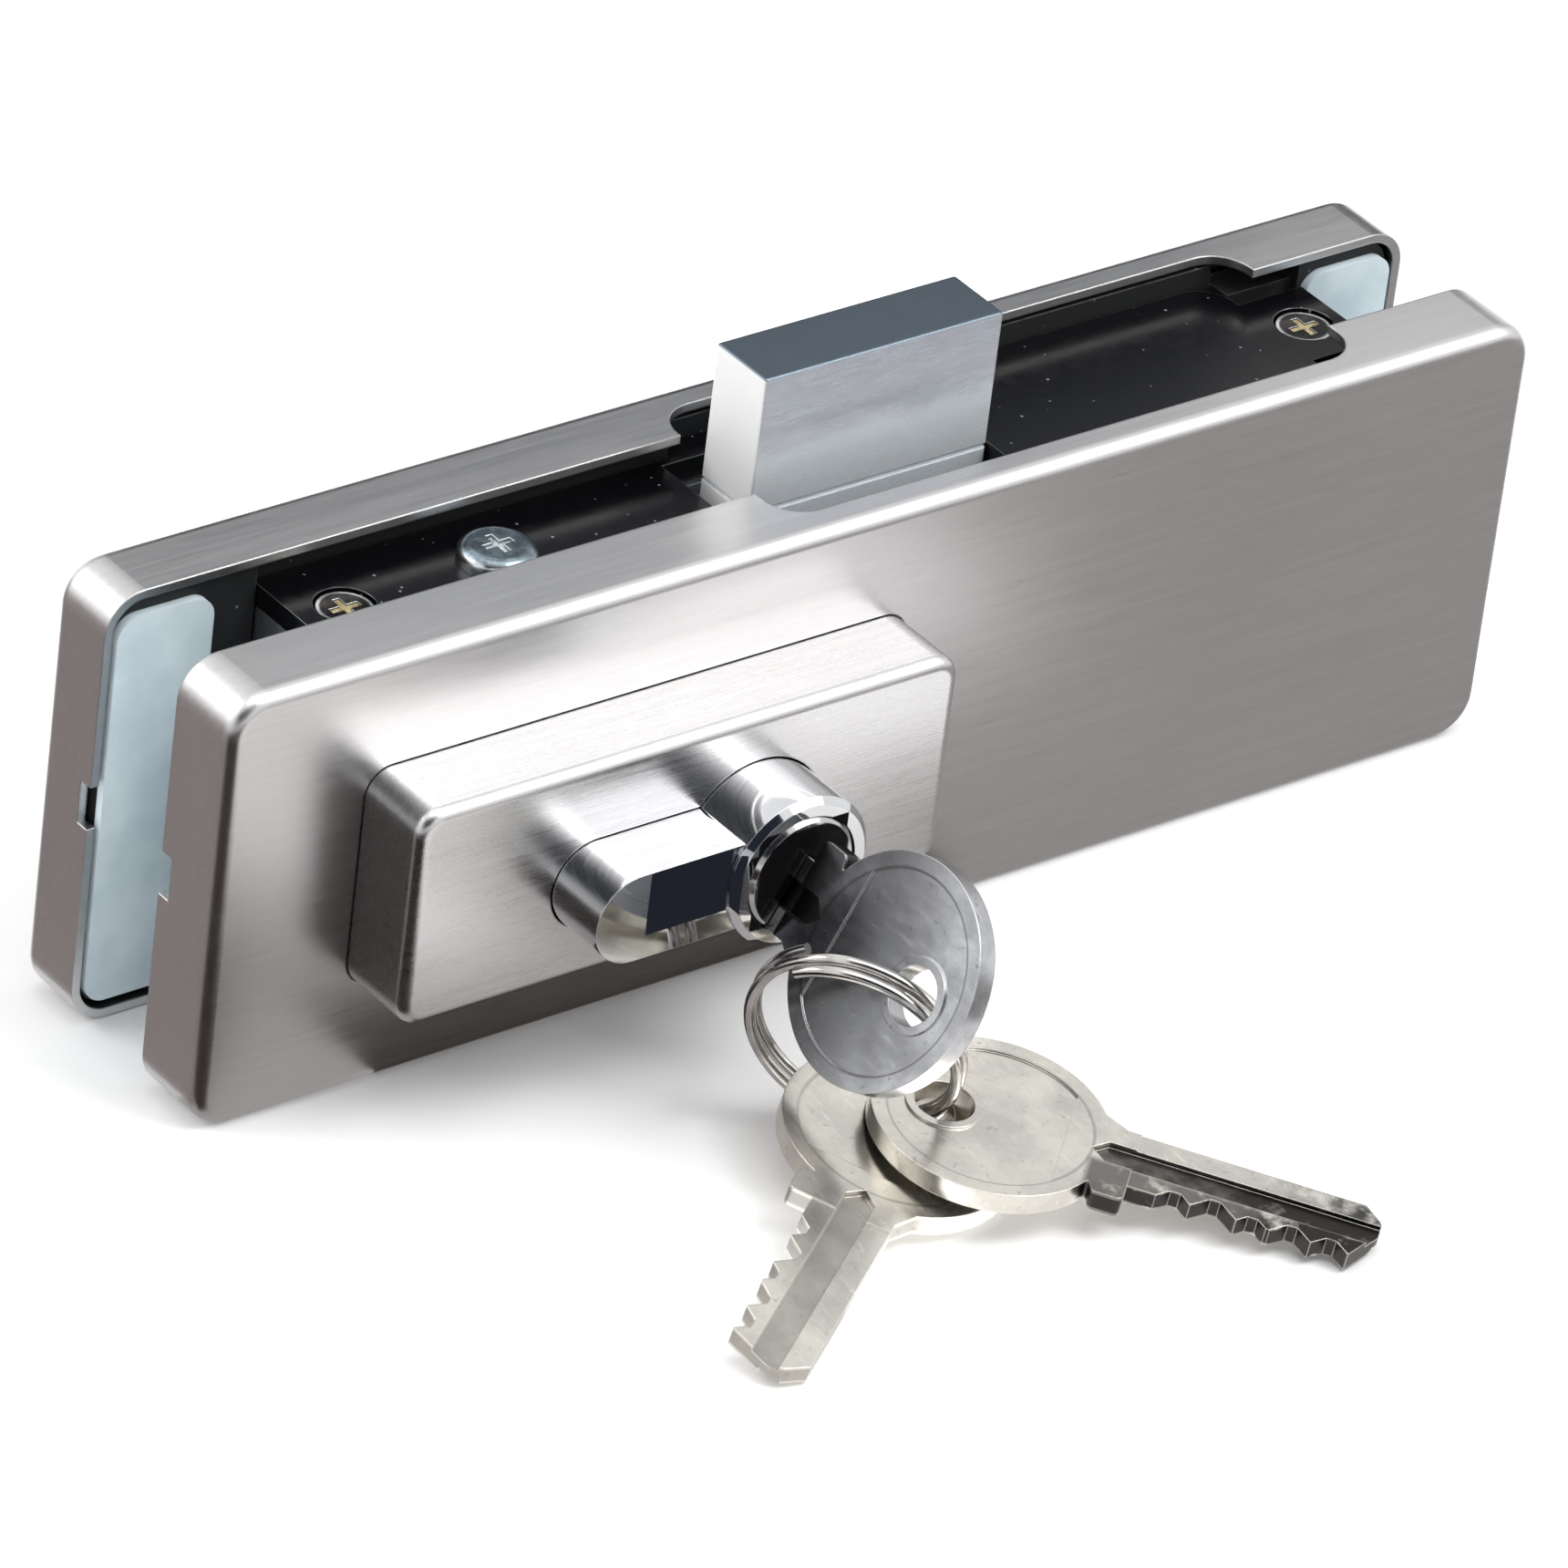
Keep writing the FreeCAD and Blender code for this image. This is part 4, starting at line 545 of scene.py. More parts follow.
@dataclass(frozen=True)
class ScrewHead(Finish):
    """Plated screws that stand upright in a row, with bright rims and bright crosses."""

    places: tuple[float, ...] = (0.0,)
    top: float = 46.0 * MM
    radius: float = 3.0 * MM
    colour: Colour = (0.30, 0.36, 0.41)
    bright: Colour = (0.86, 0.88, 0.88)
    cross: Colour = (0.90, 0.93, 0.92)
    dark: float = 0.55
    roughness: float = 0.24
    gloss_swing: float = 0.2
    cloud_scale: float = 700.0
    cloud_step: Span = (0.38, 0.62)
    fleck_scale: float = 2600.0
    fleck_step: Span = (0.25, 0.5)
    blur: float = 0.15 * MM
    edge_wear_and_highlight: float = 0.7
    rim_step: Span = (0.35 * MM, 0.05 * MM)
    rim_share: float = 0.8
    sink: float = 0.12 * MM
    cross_reach: float = 1.75 * MM
    cross_dulls: float = 0.7

    def distance(self, graph: Graph) -> Signal:
        """How far the surface is from the axis of the nearest screw.

        Args:
            graph: the material's graph.

        Returns:
            The distance, in metres.
        """
        ahead = graph.beyond(Axis.X, self.places[0]).size()
        for place in self.places[1:]:
            ahead = ahead.least(graph.beyond(Axis.X, place).size())
        return ahead.span(graph.beyond(Axis.Y, 0.0))

    def make(self, graph: Graph) -> bpy.types.Material:
        """Rims and crosses by the distance from the axis and the depth under the top.

        Args:
            graph: the material's empty graph.

        Returns:
            The material.
        """
        depth = -graph.beyond(Axis.Z, self.top)
        away = self.distance(graph)
        place = graph.place()
        cloud = graph.noise(place, self.cloud_scale, detail=3.0, rough=0.6)
        fleck = graph.noise(place, self.fleck_scale, detail=3.0, rough=0.7)
        rim = (away - (self.radius - self.blur)).size().step(*self.rim_step) * self.rim_share
        recess = depth.step(self.sink, self.sink + self.blur)
        recess = recess * away.step(self.cross_reach + self.blur, self.cross_reach)
        rounded = graph.soft_edges(self.blur)
        dark = shaded(self.colour, self.dark)
        colour = graph.blend(cloud.step(*self.cloud_step), dark, self.colour)
        colour = graph.blend(rim, colour, self.bright)
        # Edges lightened: rubbing and a painted edge highlight.
        colour = graph.blend(graph.edges(rounded) * self.edge_wear_and_highlight, colour, self.bright)
        colour = graph.blend(recess * fleck.step(*self.fleck_step), colour, self.cross)
        metal = 1.0 - recess * self.cross_dulls
        rough = uneven(self.roughness, (fleck,), (self.gloss_swing,))
        relief = self.relief(graph, fleck, rounded)
        return graph.finish(colour, metallic=metal, roughness=rough, normal=relief)


@dataclass(frozen=True)
class KeySurface:
    """Where the surface is on a key, and the noises over it."""

    along: Signal
    side: Signal
    level: Signal
    cloud: Signal
    fleck: Signal
    smear: Signal
    scratch: Signal


@dataclass(frozen=True)
class KeyMetal(Finish):
    """A well-used key: a stamped bow, a groove dark with soiling and painted shade, and bright
    edges from rubbing and a painted highlight.
    """

    centre: Place = ORIGIN
    along: Place = Axis.X.value
    cuts: Place = Axis.Y.value
    colour: Colour = (0.80, 0.77, 0.70)
    shade: Colour = (0.62, 0.60, 0.55)
    stain: Colour = (0.40, 0.385, 0.36)
    grime_and_shade: Colour = (0.045, 0.042, 0.04)
    light: float = 1.22
    roughness: float = 0.24
    gloss_swings: Span = (0.14, 0.12)
    cloud_scale: float = 130.0
    cloud_step: Span = (0.32, 0.66)
    smear_scale: float = 420.0
    fleck_scale: float = 900.0
    fleck_step: Span = (0.60, 0.74)
    fleck_stains: float = 0.6
    scratch_scale: float = 1900.0
    scratch_stretch: Place = (1.0, 0.14, 0.3)
    scratch_turn: float = 35.0
    scratch_step: Span = (0.55, 0.8)
    scratch_shines: float = 0.5
    scratch_share: float = 0.5
    edge: float = 0.16 * MM
    edge_wear_and_highlight: float = 0.75
    field_radius: float = 10.5 * MM
    field_step: Span = (0.28 * MM, 0.05 * MM)
    field_rise: Span = (0.2 * MM, 0.0)
    field_stains: float = 0.7
    hole: float = -4.8 * MM
    hole_radius: float = 3.1 * MM
    hole_blur: float = 0.1 * MM
    hole_shade: float = 0.9
    blade_half: float = 1.0 * MM
    blade_start: float = 10.0 * MM
    blade_fade: float = 1.0 * MM
    groove_step: Span = (0.12 * MM, 0.4 * MM)
    groove_smear: Span = (0.5, 0.65)
    groove_grime_and_shade: float = 1.0
    groove_dulls: float = 0.12
    tip: float = 40.0 * MM
    tip_step: Span = (16.0 * MM, 1.0 * MM)
    tip_smear: Span = (0.3, 0.6)
    tip_dirt: float = 0.55
    cut_step: Span = (0.9 * MM, 2.2 * MM)
    cut_smear: Span = (0.2, 0.5)
    cut_side_dark: float = 0.0
    haze_step: Span = (-9.0 * MM, 9.0 * MM)
    haze_cloud: Span = (0.2, 0.6)
    haze_shade: float = 0.0

    def survey(self, graph: Graph) -> KeySurface:
        """Measures the surface along the key's own axes.

        Args:
            graph: the material's graph.

        Returns:
            The distances along the key, towards its cuts and off its middle plane, with the
            noises.
        """
        across = tuple(Vector(self.along).cross(Vector(self.cuts)))
        place = graph.place()
        streaks = graph.place(self.scratch_stretch, self.scratch_turn)
        return KeySurface(
            along=graph.measure(self.along, self.centre),
            side=graph.measure(self.cuts, self.centre),
            level=graph.measure(across, self.centre).size(),
            cloud=graph.noise(place, self.cloud_scale, detail=4.0, rough=0.6),
            fleck=graph.noise(place, self.fleck_scale, detail=3.0, rough=0.7),
            smear=graph.noise(place, self.smear_scale, detail=3.0, rough=0.6),
            scratch=graph.noise(streaks, self.scratch_scale, detail=3.0, rough=0.7),
        )

    def bare(self, graph: Graph, at: KeySurface, light: Colour) -> Signal:
        """The clean key with its scratches, its flecks and the line round the stamped field.

        Args:
            graph: the material's graph.
            at: the surface.
            light: the colour of bright scratches.

        Returns:
            The colour.
        """
        bright = at.scratch.step(*self.scratch_step) * self.scratch_shines
        stained = at.fleck.step(*self.fleck_step) * self.fleck_stains
        line = (at.along.span(at.side) - self.field_radius).size().step(*self.field_step)
        line = line * at.level.step_near(self.blade_half, self.field_rise)
        colour = graph.blend(at.cloud.step(*self.cloud_step), self.shade, self.colour)
        colour = graph.blend(bright, colour, light)
        colour = graph.blend(stained, colour, self.stain)
        return graph.blend(line * self.field_stains, colour, self.stain)

    def grime_and_shade_mask(self, at: KeySurface, blade: Signal, sunk: Signal) -> Signal:
        """Soiling and painted shade in the groove, soiling at the tip, painted shade in the hole
        and towards the neck, and darkening on the cut side.

        Args:
            at: the surface.
            blade: 1 on the blade.
            sunk: 1 in its groove.

        Returns:
            The soiling and painted shade, from 0 to 1.
        """
        # The groove: soiling and painted shade.
        groove = sunk * (at.smear * self.groove_smear[0] + self.groove_smear[1])
        tip = at.along.step_near(self.tip, self.tip_step) * blade * self.tip_dirt
        # The hole: painted shade.
        hole = (at.along - self.hole).span(at.side)
        hole = hole.step(self.hole_radius, self.hole_radius - self.hole_blur)
        # Towards the neck: painted shade.
        haze = at.along.step(*self.haze_step) * at.cloud.step(*self.haze_cloud)
        # Darker along the cut side of the blade.
        cuts = at.side.step(*self.cut_step) * blade * self.cut_side_dark
        grime_and_shade = groove * self.groove_grime_and_shade + tip * at.smear.step(*self.tip_smear)
        grime_and_shade = grime_and_shade + hole * self.hole_shade + haze * self.haze_shade
        return (grime_and_shade + cuts * at.smear.step(*self.cut_smear)).clamped()

    def make(self, graph: Graph) -> bpy.types.Material:
        """Soiling and painted shade over the bare key, and bright edges from rubbing and a painted
        highlight over both.

        Args:
            graph: the material's empty graph.

        Returns:
            The material.
        """
        at = self.survey(graph)
        blade = at.along.step(self.blade_start, self.blade_start + self.blade_fade)
        sunk = at.level.step_near(self.blade_half, self.groove_step) * blade
        light = shaded(self.colour, self.light)
        rounded = graph.soft_edges(self.edge)
        bare = self.bare(graph, at, light)
        colour = graph.blend(self.grime_and_shade_mask(at, blade, sunk), bare, self.grime_and_shade)
        # Edges lightened: rubbing and a painted edge highlight.
        colour = graph.blend(graph.edges(rounded) * self.edge_wear_and_highlight, colour, light)
        rough = uneven(self.roughness, (at.cloud, at.scratch), self.gloss_swings)
        rough = rough + sunk * self.groove_dulls
        height = at.scratch * self.scratch_share + at.fleck * (1.0 - self.scratch_share)
        relief = self.relief(graph, height, rounded)
        return graph.finish(colour, metallic=1.0, roughness=rough, normal=relief)


@dataclass(frozen=True)
class BlackCoating(Finish):
    """Black coating with dust specks, and bare metal at the edges from rubbing, which is also a
    painted edge highlight.
    """

    colour: Colour = (0.012, 0.012, 0.014)
    rubbed_and_lit_colour: Colour = (0.42, 0.43, 0.45)
    roughness: float = 0.30
    sheen: float = 0.25
    speck: float = 0.55 * MM
    speck_gap: float = 3.0
    speck_step: Span = (0.14, 0.05)
    speck_share: float = 0.5
    patch_scale: float = 0.4
    patch_step: Span = (0.50, 0.62)
    patch_swing: float = 0.15
    grain_scale: float = 2500.0
    edge: float = 0.16 * MM
    edge_rub_and_highlight: float = 0.7
    rub_scale: float = 700.0
    rub_step: Span = (0.25, 0.55)
    bumpiness: float = 0.2

    def make(self, graph: Graph) -> bpy.types.Material:
        """Specks, and bright edges from rubbing and a painted highlight, over the coat.

        Args:
            graph: the material's empty graph.

        Returns:
            The material.
        """
        place = graph.place()
        scale = 1 / (self.speck_gap * self.speck)
        cells = {"Vector": place, "Scale": scale, "Randomness": 1.0}
        dots = graph.node("ShaderNodeTexVoronoi", {"feature": "F1"}, cells, "Distance")
        patch = graph.noise(place, self.patch_scale / self.speck)
        speck = dots.step(*self.speck_step) * patch.step(*self.patch_step)
        rounded = graph.soft_edges(self.edge)
        rubs = graph.noise(place, self.rub_scale, detail=3.0).step(*self.rub_step)
        # Bright metal edges: rubbing and a painted edge highlight.
        worn_and_lit = graph.edges(rounded) * rubs * self.edge_rub_and_highlight
        marks = (speck * self.speck_share + worn_and_lit).clamped()
        colour = graph.blend(marks, self.colour, self.rubbed_and_lit_colour)
        sockets = {
            "metallic": worn_and_lit.clamped(),
            "roughness": uneven(self.roughness, (patch,), (self.patch_swing,)),
            "specular_ior_level": self.sheen,
            "normal": self.relief(graph, graph.noise(place, self.grain_scale), rounded),
        }
        return graph.finish(colour, **sockets)


@dataclass(frozen=True)
class PressedFibre(Finish):
    """Pale gasket sheet with fine dark specks."""

    colour: Colour = (0.54, 0.64, 0.69)
    pale: Colour = (0.68, 0.77, 0.82)
    dot: Colour = (0.30, 0.33, 0.35)
    roughness: float = 0.78
    sheen: float = 0.3
    speck: float = 0.22 * MM
    fibre_stretch: Place = (1.0, 1.0, 0.4)
    dot_scale: float = 0.8
    dot_step: Span = (0.68, 0.76)
    dot_share: float = 0.35
    cloud_scale: float = 120.0
    cloud_step: Span = (0.3, 0.7)
    cloud_swing: float = 0.2
    edge: float = 0.15 * MM
    depth: float = 0.03 * MM
    bumpiness: float = 0.5

    def make(self, graph: Graph) -> bpy.types.Material:
        """A mottled matt sheet.

        Args:
            graph: the material's empty graph.

        Returns:
            The material.
        """
        place = graph.place()
        threads = graph.place(self.fibre_stretch)
        cloud = graph.noise(place, self.cloud_scale, detail=3.0)
        fibre = graph.noise(threads, 1 / self.speck, detail=3.0, rough=0.7)
        dots = graph.noise(place, self.dot_scale / self.speck).step(*self.dot_step)
        colour = graph.blend(cloud.step(*self.cloud_step), self.colour, self.pale)
        colour = graph.blend(dots * self.dot_share, colour, self.dot)
        rough = uneven(self.roughness, (cloud,), (self.cloud_swing,))
        relief = self.relief(graph, fibre, graph.soft_edges(self.edge))
        return graph.finish(colour, roughness=rough, specular_ior_level=self.sheen, normal=relief)


@dataclass(frozen=True)
class CastMetal(Finish):
    """Cast or pressed metal with a slightly pitted skin."""

    colour: Colour = (0.5, 0.5, 0.5)
    roughness: float = 0.45
    pit: float = 0.35 * MM
    cloud_scale: float = 80.0
    cloud_share: float = 0.6
    mottle_step: Span = (0.3, 0.7)
    gloss_swings: Span = (0.2, 0.1)
    dark: float = 0.72
    light: float = 1.3
    lift: float = 0.02
    edge: float = 0.2 * MM
    edge_wear_and_highlight: float = 0.5
    depth: float = 0.03 * MM
    bumpiness: float = 0.4

    def make(self, graph: Graph) -> bpy.types.Material:
        """Pits, soft stains, and edges lightened by rubbing and a painted highlight.

        Args:
            graph: the material's empty graph.

        Returns:
            The material.
        """
        place = graph.place()
        pits = graph.noise(place, 1 / self.pit, detail=3.0, rough=0.6)
        cloud = graph.noise(place, self.cloud_scale, detail=3.0)
        mottle = cloud * self.cloud_share + pits * (1.0 - self.cloud_share)
        rounded = graph.soft_edges(self.edge)
        dark = shaded(self.colour, self.dark)
        light = shaded(self.colour, self.light, self.lift)
        colour = graph.blend(mottle.step(*self.mottle_step), dark, self.colour)
        colour = graph.blend(graph.edges(rounded) * self.edge_wear_and_highlight, colour, light)
        rough = uneven(self.roughness, (pits, cloud), self.gloss_swings)
        relief = self.relief(graph, pits, rounded)
        return graph.finish(colour, metallic=1.0, roughness=rough, normal=relief)


@dataclass(frozen=True)
class DrawnWire(Finish):
    """Hard bright wire or turned pins."""

    colour: Colour = (0.62, 0.61, 0.60)
    roughness: float = 0.16
    mark_scale: float = 1800.0
    patch_scale: float = 260.0
    patch_step: Span = (0.35, 0.65)
    gloss_swings: Span = (0.12, 0.1)
    dark: float = 0.7
    depth: float = 0.01 * MM
    bumpiness: float = 0.3

    def make(self, graph: Graph) -> bpy.types.Material:
        """A bright metal with fine drawing marks and dull patches.

        Args:
            graph: the material's empty graph.

        Returns:
            The material.
        """
        place = graph.place()
        marks = graph.noise(place, self.mark_scale, detail=3.0, rough=0.6)
        patch = graph.noise(place, self.patch_scale)
        dark = shaded(self.colour, self.dark)
        colour = graph.blend(patch.step(*self.patch_step), dark, self.colour)
        rough = uneven(self.roughness, (marks, patch), self.gloss_swings)
        relief = self.relief(graph, marks)
        return graph.finish(colour, metallic=1.0, roughness=rough, normal=relief)


COVER_STEEL = BrushedSteel("cover_steel")
HOUSING_STEEL = BrushedSteel("housing_steel", colour=(0.67, 0.662, 0.662), roughness=0.28)
CYLINDER_CHROME = BrightPlating("cylinder_chrome")
PLUG_CHROME = BrightPlating("plug_chrome", colour=(0.60, 0.59, 0.58), roughness=0.12)
BOLT_NICKEL = PaintedLightPlating(
    "bolt_plating", colour=(0.34, 0.35, 0.39), middle=3.95 * MM, half=15.05 * MM
)
LOCK_KEY_METAL = KeyMetal(
    "lock_key_metal",
    centre=(-24.25 * MM, -49.6 * MM, 21.78135 * MM),
    along=(0.0, 1.0, 0.0),
    cuts=(0.5, 0.0, 0.8660254),
    colour=(0.64, 0.65, 0.67),
    shade=(0.42, 0.425, 0.44),
    stain=(0.20, 0.205, 0.22),
    roughness=0.25,
    # Painted shade towards the neck of the bow.
    haze_shade=0.75,
)
FIRST_KEY_METAL = KeyMetal(
    "first_key_metal",
    centre=(-16.0711 * MM, -57.8060 * MM, 6.2722 * MM),
    along=(0.667852, -0.733960, -0.123601),
    cuts=(-0.743263, -0.666406, -0.058852),
    tip_dirt=0.95,
    cut_side_dark=0.75,
)
SECOND_KEY_METAL = KeyMetal(
    "second_key_metal",
    centre=(-23.8882 * MM, -53.5407 * MM, 4.2062 * MM),
    along=(-0.827663, -0.558266, -0.057564),
    cuts=(-0.557593, 0.806319, 0.197330),
    tip_dirt=0.0,
    groove_grime_and_shade=0.45,
)
FOREND_BLACK = BlackCoating("forend_coat", colour=(0.003, 0.003, 0.004), roughness=0.2)
PLATE_BLACK = BlackCoating("plate_black", colour=(0.02, 0.021, 0.022), roughness=0.4, edge_rub_and_highlight=0.25)
PAD_FIBRE = PressedFibre("gasket_fibre")
CASE_ZINC = CastMetal("cast_case", colour=(0.40, 0.41, 0.42))
LID_ZINC = CastMetal("lid_zinc", colour=(0.46, 0.47, 0.48), roughness=0.38)
CLIP_STEEL = CastMetal("clip_steel", colour=(0.50, 0.50, 0.51), roughness=0.25, pit=0.8 * MM)
WORK_STEEL = CastMetal("work_steel", colour=(0.46, 0.45, 0.44), roughness=0.32)
RING_STEEL = DrawnWire("ring_wire", colour=(0.66, 0.64, 0.62), roughness=0.14)
SPRING_STEEL = DrawnWire("spring_wire", colour=(0.5, 0.5, 0.52), roughness=0.2)
PIN_BRASS = DrawnWire("brass_pin", colour=(0.78, 0.56, 0.26), roughness=0.2)
PIN_STEEL = DrawnWire("pin_steel", colour=(0.6, 0.6, 0.61), roughness=0.2)
SCREW_ZINC = SatinPlating(
    "screw_plating",
    colour=(0.56, 0.63, 0.68),
    stain=(0.32, 0.38, 0.42),
    roughness=0.24,
    mark=1.6 * MM,
)
COUNTERSUNK_HEADS = ScrewHead(
    "countersunk_heads",
    places=(-57.7 * MM, 63.9 * MM),
    top=45.9 * MM,
    radius=2.95 * MM,
    colour=(0.055, 0.052, 0.05),
    cross=(0.85, 0.78, 0.58),
    roughness=0.18,
)
FIXING_HEAD = ScrewHead(
    "fixing_head",
    places=(-39.4 * MM,),
    top=48.2 * MM,
    radius=4.2 * MM,
    sink=0.35 * MM,
    colour=(0.30, 0.37, 0.42),
)


def dress(node: str, finish: Finish) -> None:
    """Gives a carried-over node its finish.

    Args:
        node: the node's name.
        finish: what it is made of.
    """
    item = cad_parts[node]
    if not item.material_slots:
        item.data.materials.append(None)
    for slot in item.material_slots:
        slot.material = finish.material()
    LOG.info("%s: %s", node, finish.name)


def pair(part: str, finish: Finish) -> dict[str, Finish]:
    """The same finish for a part's front and rear nodes."""
    return {f"{side}_{part}": finish for side in ("front", "rear")}


@dataclass
class SubAssembly:
    """Nodes that are dressed together."""

    finishes: dict[str, Finish] = field(default_factory=dict)

    def build(self) -> None:
        """Dresses the nodes."""
        for node, finish in self.finishes.items():
            dress(node, finish)


@dataclass
class Covers(SubAssembly):
    """The two sheet covers and the housings that stand proud of them."""

    def __post_init__(self) -> None:
        """Fills in the finishes."""
        self.finishes = {
            **pair("cover", COVER_STEEL),
            **pair("housing", HOUSING_STEEL),
            **pair("cover_clips", CLIP_STEEL),
        }


@dataclass
class Clamp(SubAssembly):
    """The plates, pads and screws that grip the glass."""

    def __post_init__(self) -> None:
        """Fills in the finishes."""
        self.finishes = {
            **pair("clamp_plate", PLATE_BLACK),
            **pair("glass_pads", PAD_FIBRE),
            "clamp_screws": SCREW_ZINC,
        }


@dataclass
class LockCase(SubAssembly):
    """The case between the panes with its forend and bolt."""

    def __post_init__(self) -> None:
        """Fills in the finishes."""
        self.finishes = {
            "lock_case": CASE_ZINC,
            "case_lid": LID_ZINC,
            "lid_screws": SCREW_ZINC,
            "forend_plate": FOREND_BLACK,
            "forend_screws": COUNTERSUNK_HEADS,
            "bolt": BOLT_NICKEL,
            "bolt_rollers": WORK_STEEL,
            "bolt_guide": WORK_STEEL,
            "bolt_stop": WORK_STEEL,
            "drag_plunger": PIN_BRASS,
            "drag_spring": SPRING_STEEL,
        }


@dataclass
class Cylinder(SubAssembly):
    """The double profile cylinder with its plugs and pins."""

    def __post_init__(self) -> None:
        """Fills in the finishes."""
        self.finishes = {
            "cylinder_body": CYLINDER_CHROME,
            **pair("plug", PLUG_CHROME),
            **pair("clip_ring", SPRING_STEEL),
            **pair("key_pins", PIN_BRASS),
            **pair("driver_pins", PIN_STEEL),
            "pin_springs": SPRING_STEEL,
            "cam": WORK_STEEL,
            "clutch": WORK_STEEL,
            "cylinder_fixing_screw": FIXING_HEAD,
        }


@dataclass
class KeyBunch(SubAssembly):
    """The key in the lock, the split ring and the two spare keys."""

    def __post_init__(self) -> None:
        """Fills in the finishes."""
        self.finishes = {
            "lock_key": LOCK_KEY_METAL,
            "split_ring": RING_STEEL,
            "first_spare_key": FIRST_KEY_METAL,
            "second_spare_key": SECOND_KEY_METAL,
        }


def facing(place: Place, aim: Place) -> Quaternion:
    """The turn of a lamp or card at a place that faces an aim."""
    return (Vector(aim) - Vector(place)).to_track_quat("-Z", "Y")


def hang(name: str, data: bpy.types.ID) -> bpy.types.Object:
    """Puts a lamp, mesh or camera into the scene.

    Args:
        name: the object's name.
        data: what it shows.

    Returns:
        The object.
    """
    item = bpy.data.objects.new(name, data)
    bpy.context.scene.collection.objects.link(item)
    return item


def spread(
    material: bpy.types.Material, sizes: Span, segments: int, stand: Matrix
) -> bpy.types.Object:
    """Makes a flat sheet under its material's name.

    Args:
        material: what it shows.
        sizes: its width and height.
        segments: how many faces it has each way.
        stand: where it stands and how it is turned.

    Returns:
        The object.
    """
    mesh = bpy.data.meshes.new(material.name)
    shape = bmesh.new()
    bmesh.ops.create_grid(shape, x_segments=segments, y_segments=segments, size=0.5)
    bmesh.ops.scale(shape, vec=(*sizes, 1.0), verts=shape.verts)
    bmesh.ops.transform(shape, matrix=stand, verts=shape.verts)
    shape.to_mesh(mesh)
    shape.free()
    mesh.materials.append(material)
    return hang(material.name, mesh)


@dataclass(frozen=True)
class Softbox:
    """A rectangular studio lamp."""

    name: str
    place: Place
    width: float
    height: float
    power: float
    aim: Place = (0.0, 0.0, 0.02)

    def build(self) -> None:
        """Hangs the lamp and points it."""
        lamp = bpy.data.lights.new(self.name, "AREA")
        lamp.shape = "RECTANGLE"
        lamp.size = self.width
        lamp.size_y = self.height
        lamp.energy = self.power
        item = hang(self.name, lamp)
        item.location = self.place
        item.rotation_euler = facing(self.place, self.aim).to_euler()


@dataclass(frozen=True)
class Card:
    """A dark or bright card that only shows in the metal's reflections."""

    name: str
    place: Place
    width: float
    height: float
    colour: Colour
    aim: Place = (0.0, 0.0, 0.03)
    turn: float = 0.0
    glow: float = 1.0
    fade: Colour | None = None
    fade_step: Span = (0.0, 1.0)

    @classmethod
    def flat(cls, name: str, place: Place, *look: object, **more: object) -> "Card":
        """A card that lies flat on the floor. The rest is as for any card."""
        return cls(name, place, *look, aim=(*place[:2], -1.0), **more)

    @classmethod
    def upright(cls, name: str, place: Place, *look: object) -> "Card":
        """A card that stands along the lock. The rest is as for any card."""
        return cls(name, place, *look, aim=(place[0], 0.0, place[2]))

    def build(self) -> None:
        """Makes the card and hides it from everything but reflections."""
        graph = Graph(bpy.data.materials.new(self.name))
        colour = (*self.colour, OPAQUE)
        if self.fade is not None:
            share = graph.measure(FRONTWARDS, ORIGIN).step(*self.fade_step)
            colour = graph.blend(share, self.colour, self.fade)
        light = {"Color": colour, "Strength": self.glow}
        graph.end("ShaderNodeOutputMaterial", graph.node("ShaderNodeEmission", None, light))
        turn = facing(self.place, self.aim).to_matrix().to_4x4()
        turn = turn @ Matrix.Rotation(math.radians(self.turn), 4, "Z")
        stand = Matrix.Translation(self.place) @ turn
        item = spread(graph.owner, (self.width, self.height), 1, stand)
        item.visible_camera = False
        item.visible_diffuse = False
        item.visible_shadow = False
        item.visible_transmission = False


LAMPS = (
    Softbox("front_right_box", (0.45, -0.55, 1.05), 0.7, 0.6, 8.0),
    Softbox("left_back_box", (-0.85, 0.75, 0.75), 0.8, 0.6, 7.0),
    Softbox("overhead_box", (-0.1, -0.1, 1.4), 0.9, 0.9, 4.0),
)
DARK_WOOD: Colour = (0.02, 0.012, 0.010)
# Cards on the floor that only show in reflections, in place of a dark table under the lock.
# boss_shade is a painted shadow of the boss, and table_glow and boss_glow are glowing patches.
TABLE_CARDS = (
    Card.flat("table_front", (0.0, -0.31, -0.0001), 1.4, 0.6, (0.37, 0.355, 0.35)),
    Card.flat(
        "table_near",
        (-0.034, -0.11, -0.00009),
        0.10,
        0.20,
        (0.46, 0.44, 0.435),
        fade=(1.15, 1.13, 1.12),
        fade_step=(0.040, 0.075),
    ),
    Card.flat("table_left", (-0.0809, -0.0474, -0.00005), 0.040, 0.050, DARK_WOOD, turn=40.7),
    Card.flat("table_end", (-0.173, -0.04575, -0.00006), 0.180, 0.0585, DARK_WOOD),
    Card.flat("table_far", (-0.270, -0.235, -0.00008), 0.37, 0.33, DARK_WOOD),
    Card.flat("table_back", (-0.4832, 0.4835, -0.00004), 0.8, 1.0, (0.28, 0.245, 0.24)),
    Card.flat("boss_shade", (-0.022, -0.0225, -0.00003), 0.075, 0.017, (0.05, 0.044, 0.04)),
    Card.flat("table_glow", (0.033, -0.072, -0.00008), 0.040, 0.022, (2.1, 2.1, 2.1)),
    Card.flat("boss_glow", (-0.027, -0.062, -0.00007), 0.042, 0.018, (1.7, 1.7, 1.7)),
)
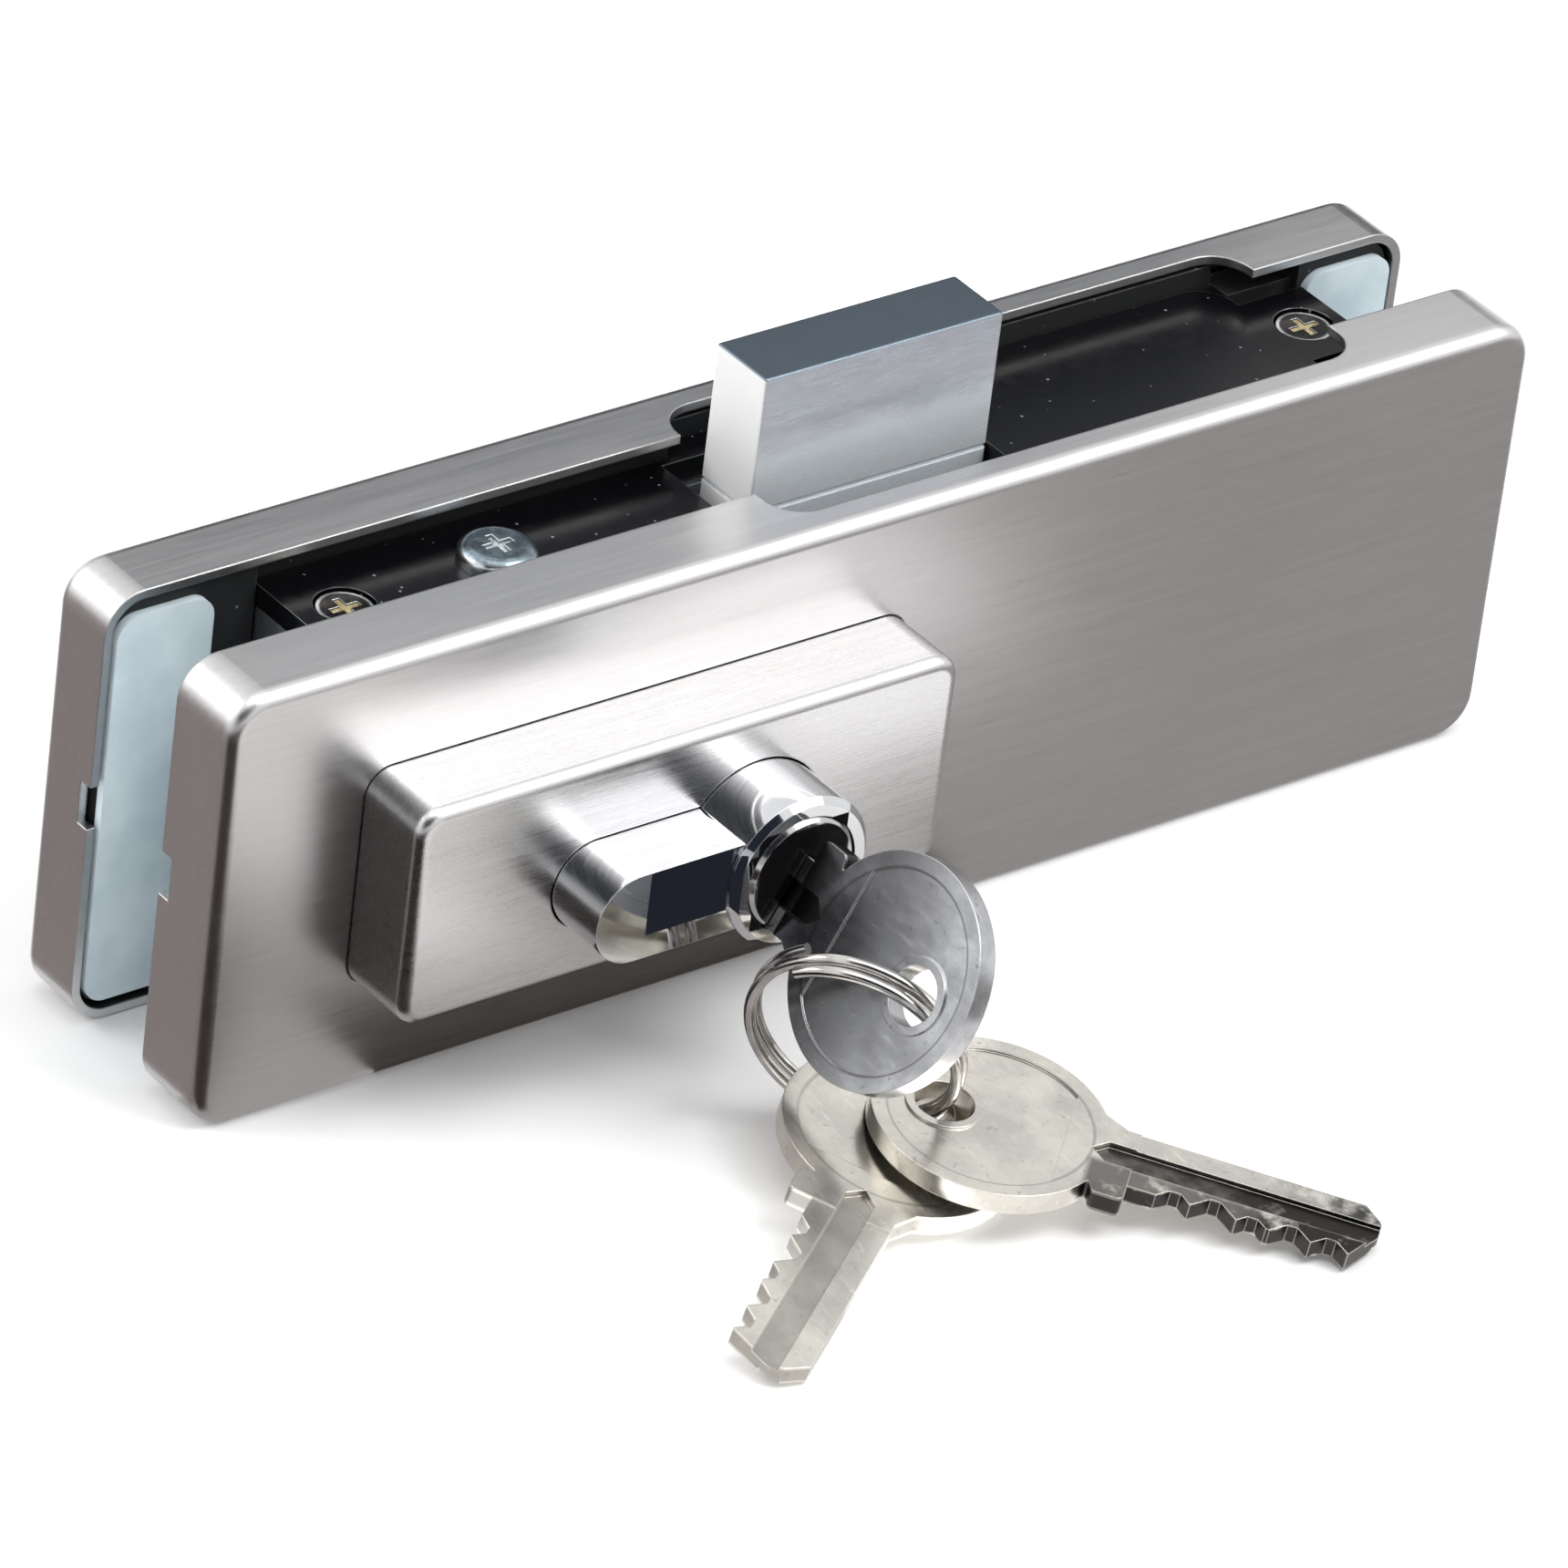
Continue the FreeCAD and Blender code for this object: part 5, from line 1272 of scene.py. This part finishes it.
ROOM_CARDS = (
    Card("right_back_card", (0.70, 0.80, 0.60), 1.6, 0.54, (0.50, 0.52, 0.54)),
    Card("top_glow", (0.142, 0.062, 0.121), 0.045, 0.026, WHITE, (0.070, -0.012, 0.054), glow=1.2),
    Card.upright("rear_top_card", (0.055, 0.060, 0.0695), 0.21, 0.049, (0.04, 0.05, 0.06)),
    Card("front_right_glow", (0.69, -0.80, 0.66), 0.8, 0.45, WHITE, glow=2.0),
    Card("left_back_glow", (-0.75, 0.72, 0.62), 0.7, 0.6, WHITE, glow=2.0),
    Card("front_left_card", (-0.85, -0.75, 0.27), 0.9, 0.34, (0.55, 0.56, 0.58)),
    Card("camera_card", (-0.60, -0.70, 0.62), 1.2, 0.75, (0.02, 0.025, 0.035)),
    Card.upright("plug_card", (-0.0222, -0.0348, 0.0226), 0.011, 0.011, (0.008, 0.008, 0.009)),
    Card.upright("tail_card", (-0.0355, -0.0334, 0.0240), 0.010, 0.0075, (0.02, 0.022, 0.032)),
)


@dataclass
class Studio:
    """The pale floor, the soft light and the camera."""

    camera_place: Place = (-0.7033076355, -0.8208972653, 0.6871601609)
    ahead: Place = (0.5517048562, 0.6425586086, -0.5317331907)
    right: Place = (0.7966763721, -0.5946843367, 0.1079689671)
    down: Place = (-0.2468370106, -0.4831862728, -0.8400014976)
    focal: float = 286.532
    sensor: float = 36.0
    floor_drop: float = 0.15 * MM
    floor_size: float = 6.0
    floor_tones: tuple[Colour, Colour] = ((0.93, 0.93, 0.93), (0.95, 0.95, 0.95))
    floor_roughness: float = 0.9
    floor_sheen: float = 0.1
    cloud_scale: float = 3.0
    background: float = 1.0
    ambient: float = 0.75

    def build(self) -> None:
        """Sets the stage."""
        self.set_world()
        self.lay_floor()
        for item in (*LAMPS, *TABLE_CARDS, *ROOM_CARDS):
            item.build()
        self.set_camera()
        bpy.context.scene.view_settings.view_transform = "Standard"

    def set_world(self) -> None:
        """A white surround for the eye and the metal, and a softer one as light."""
        world = bpy.data.worlds.new("studio")
        bpy.context.scene.world = world
        graph = Graph(world)
        seen = graph.node("ShaderNodeLightPath", output="Is Camera Ray")
        for ray in ("Is Glossy Ray", "Is Transmission Ray"):
            seen = seen.most(graph.node("ShaderNodeLightPath", output=ray))
        ends = {"Value": seen, "To Min": self.ambient, "To Max": self.background}
        level = graph.node("ShaderNodeMapRange", None, ends)
        light = {"Color": (*WHITE, OPAQUE), "Strength": level}
        graph.end("ShaderNodeOutputWorld", graph.node("ShaderNodeBackground", None, light))

    def lay_floor(self) -> None:
        """A matt white floor under the lock."""
        graph = Graph(bpy.data.materials.new("studio_floor"))
        colour = graph.blend(graph.noise(graph.place(), self.cloud_scale), *self.floor_tones)
        sheen = self.floor_sheen
        graph.finish(colour, roughness=self.floor_roughness, specular_ior_level=sheen)
        stand = Matrix.Translation((0.0, 0.0, -self.floor_drop))
        floor = spread(graph.owner, (self.floor_size, self.floor_size), 2, stand)

    def set_camera(self) -> None:
        """A long lens from the front left, above the lock."""
        lens = bpy.data.cameras.new("camera")
        lens.sensor_fit = "HORIZONTAL"
        lens.sensor_width = self.sensor
        lens.lens = self.focal
        item = hang("camera", lens)
        axes = Matrix((self.right, -Vector(self.down), -Vector(self.ahead))).transposed().to_4x4()
        item.matrix_world = Matrix.Translation(self.camera_place) @ axes
        bpy.context.scene.camera = item


def main() -> None:
    """Dresses the lock and sets the stage."""
    logging.basicConfig(level=logging.INFO, format="%(name)s %(message)s")
    for assembly in (Covers(), Clamp(), LockCase(), Cylinder(), KeyBunch()):
        assembly.build()
    Studio().build()


if __name__ == "__main__":
    main()
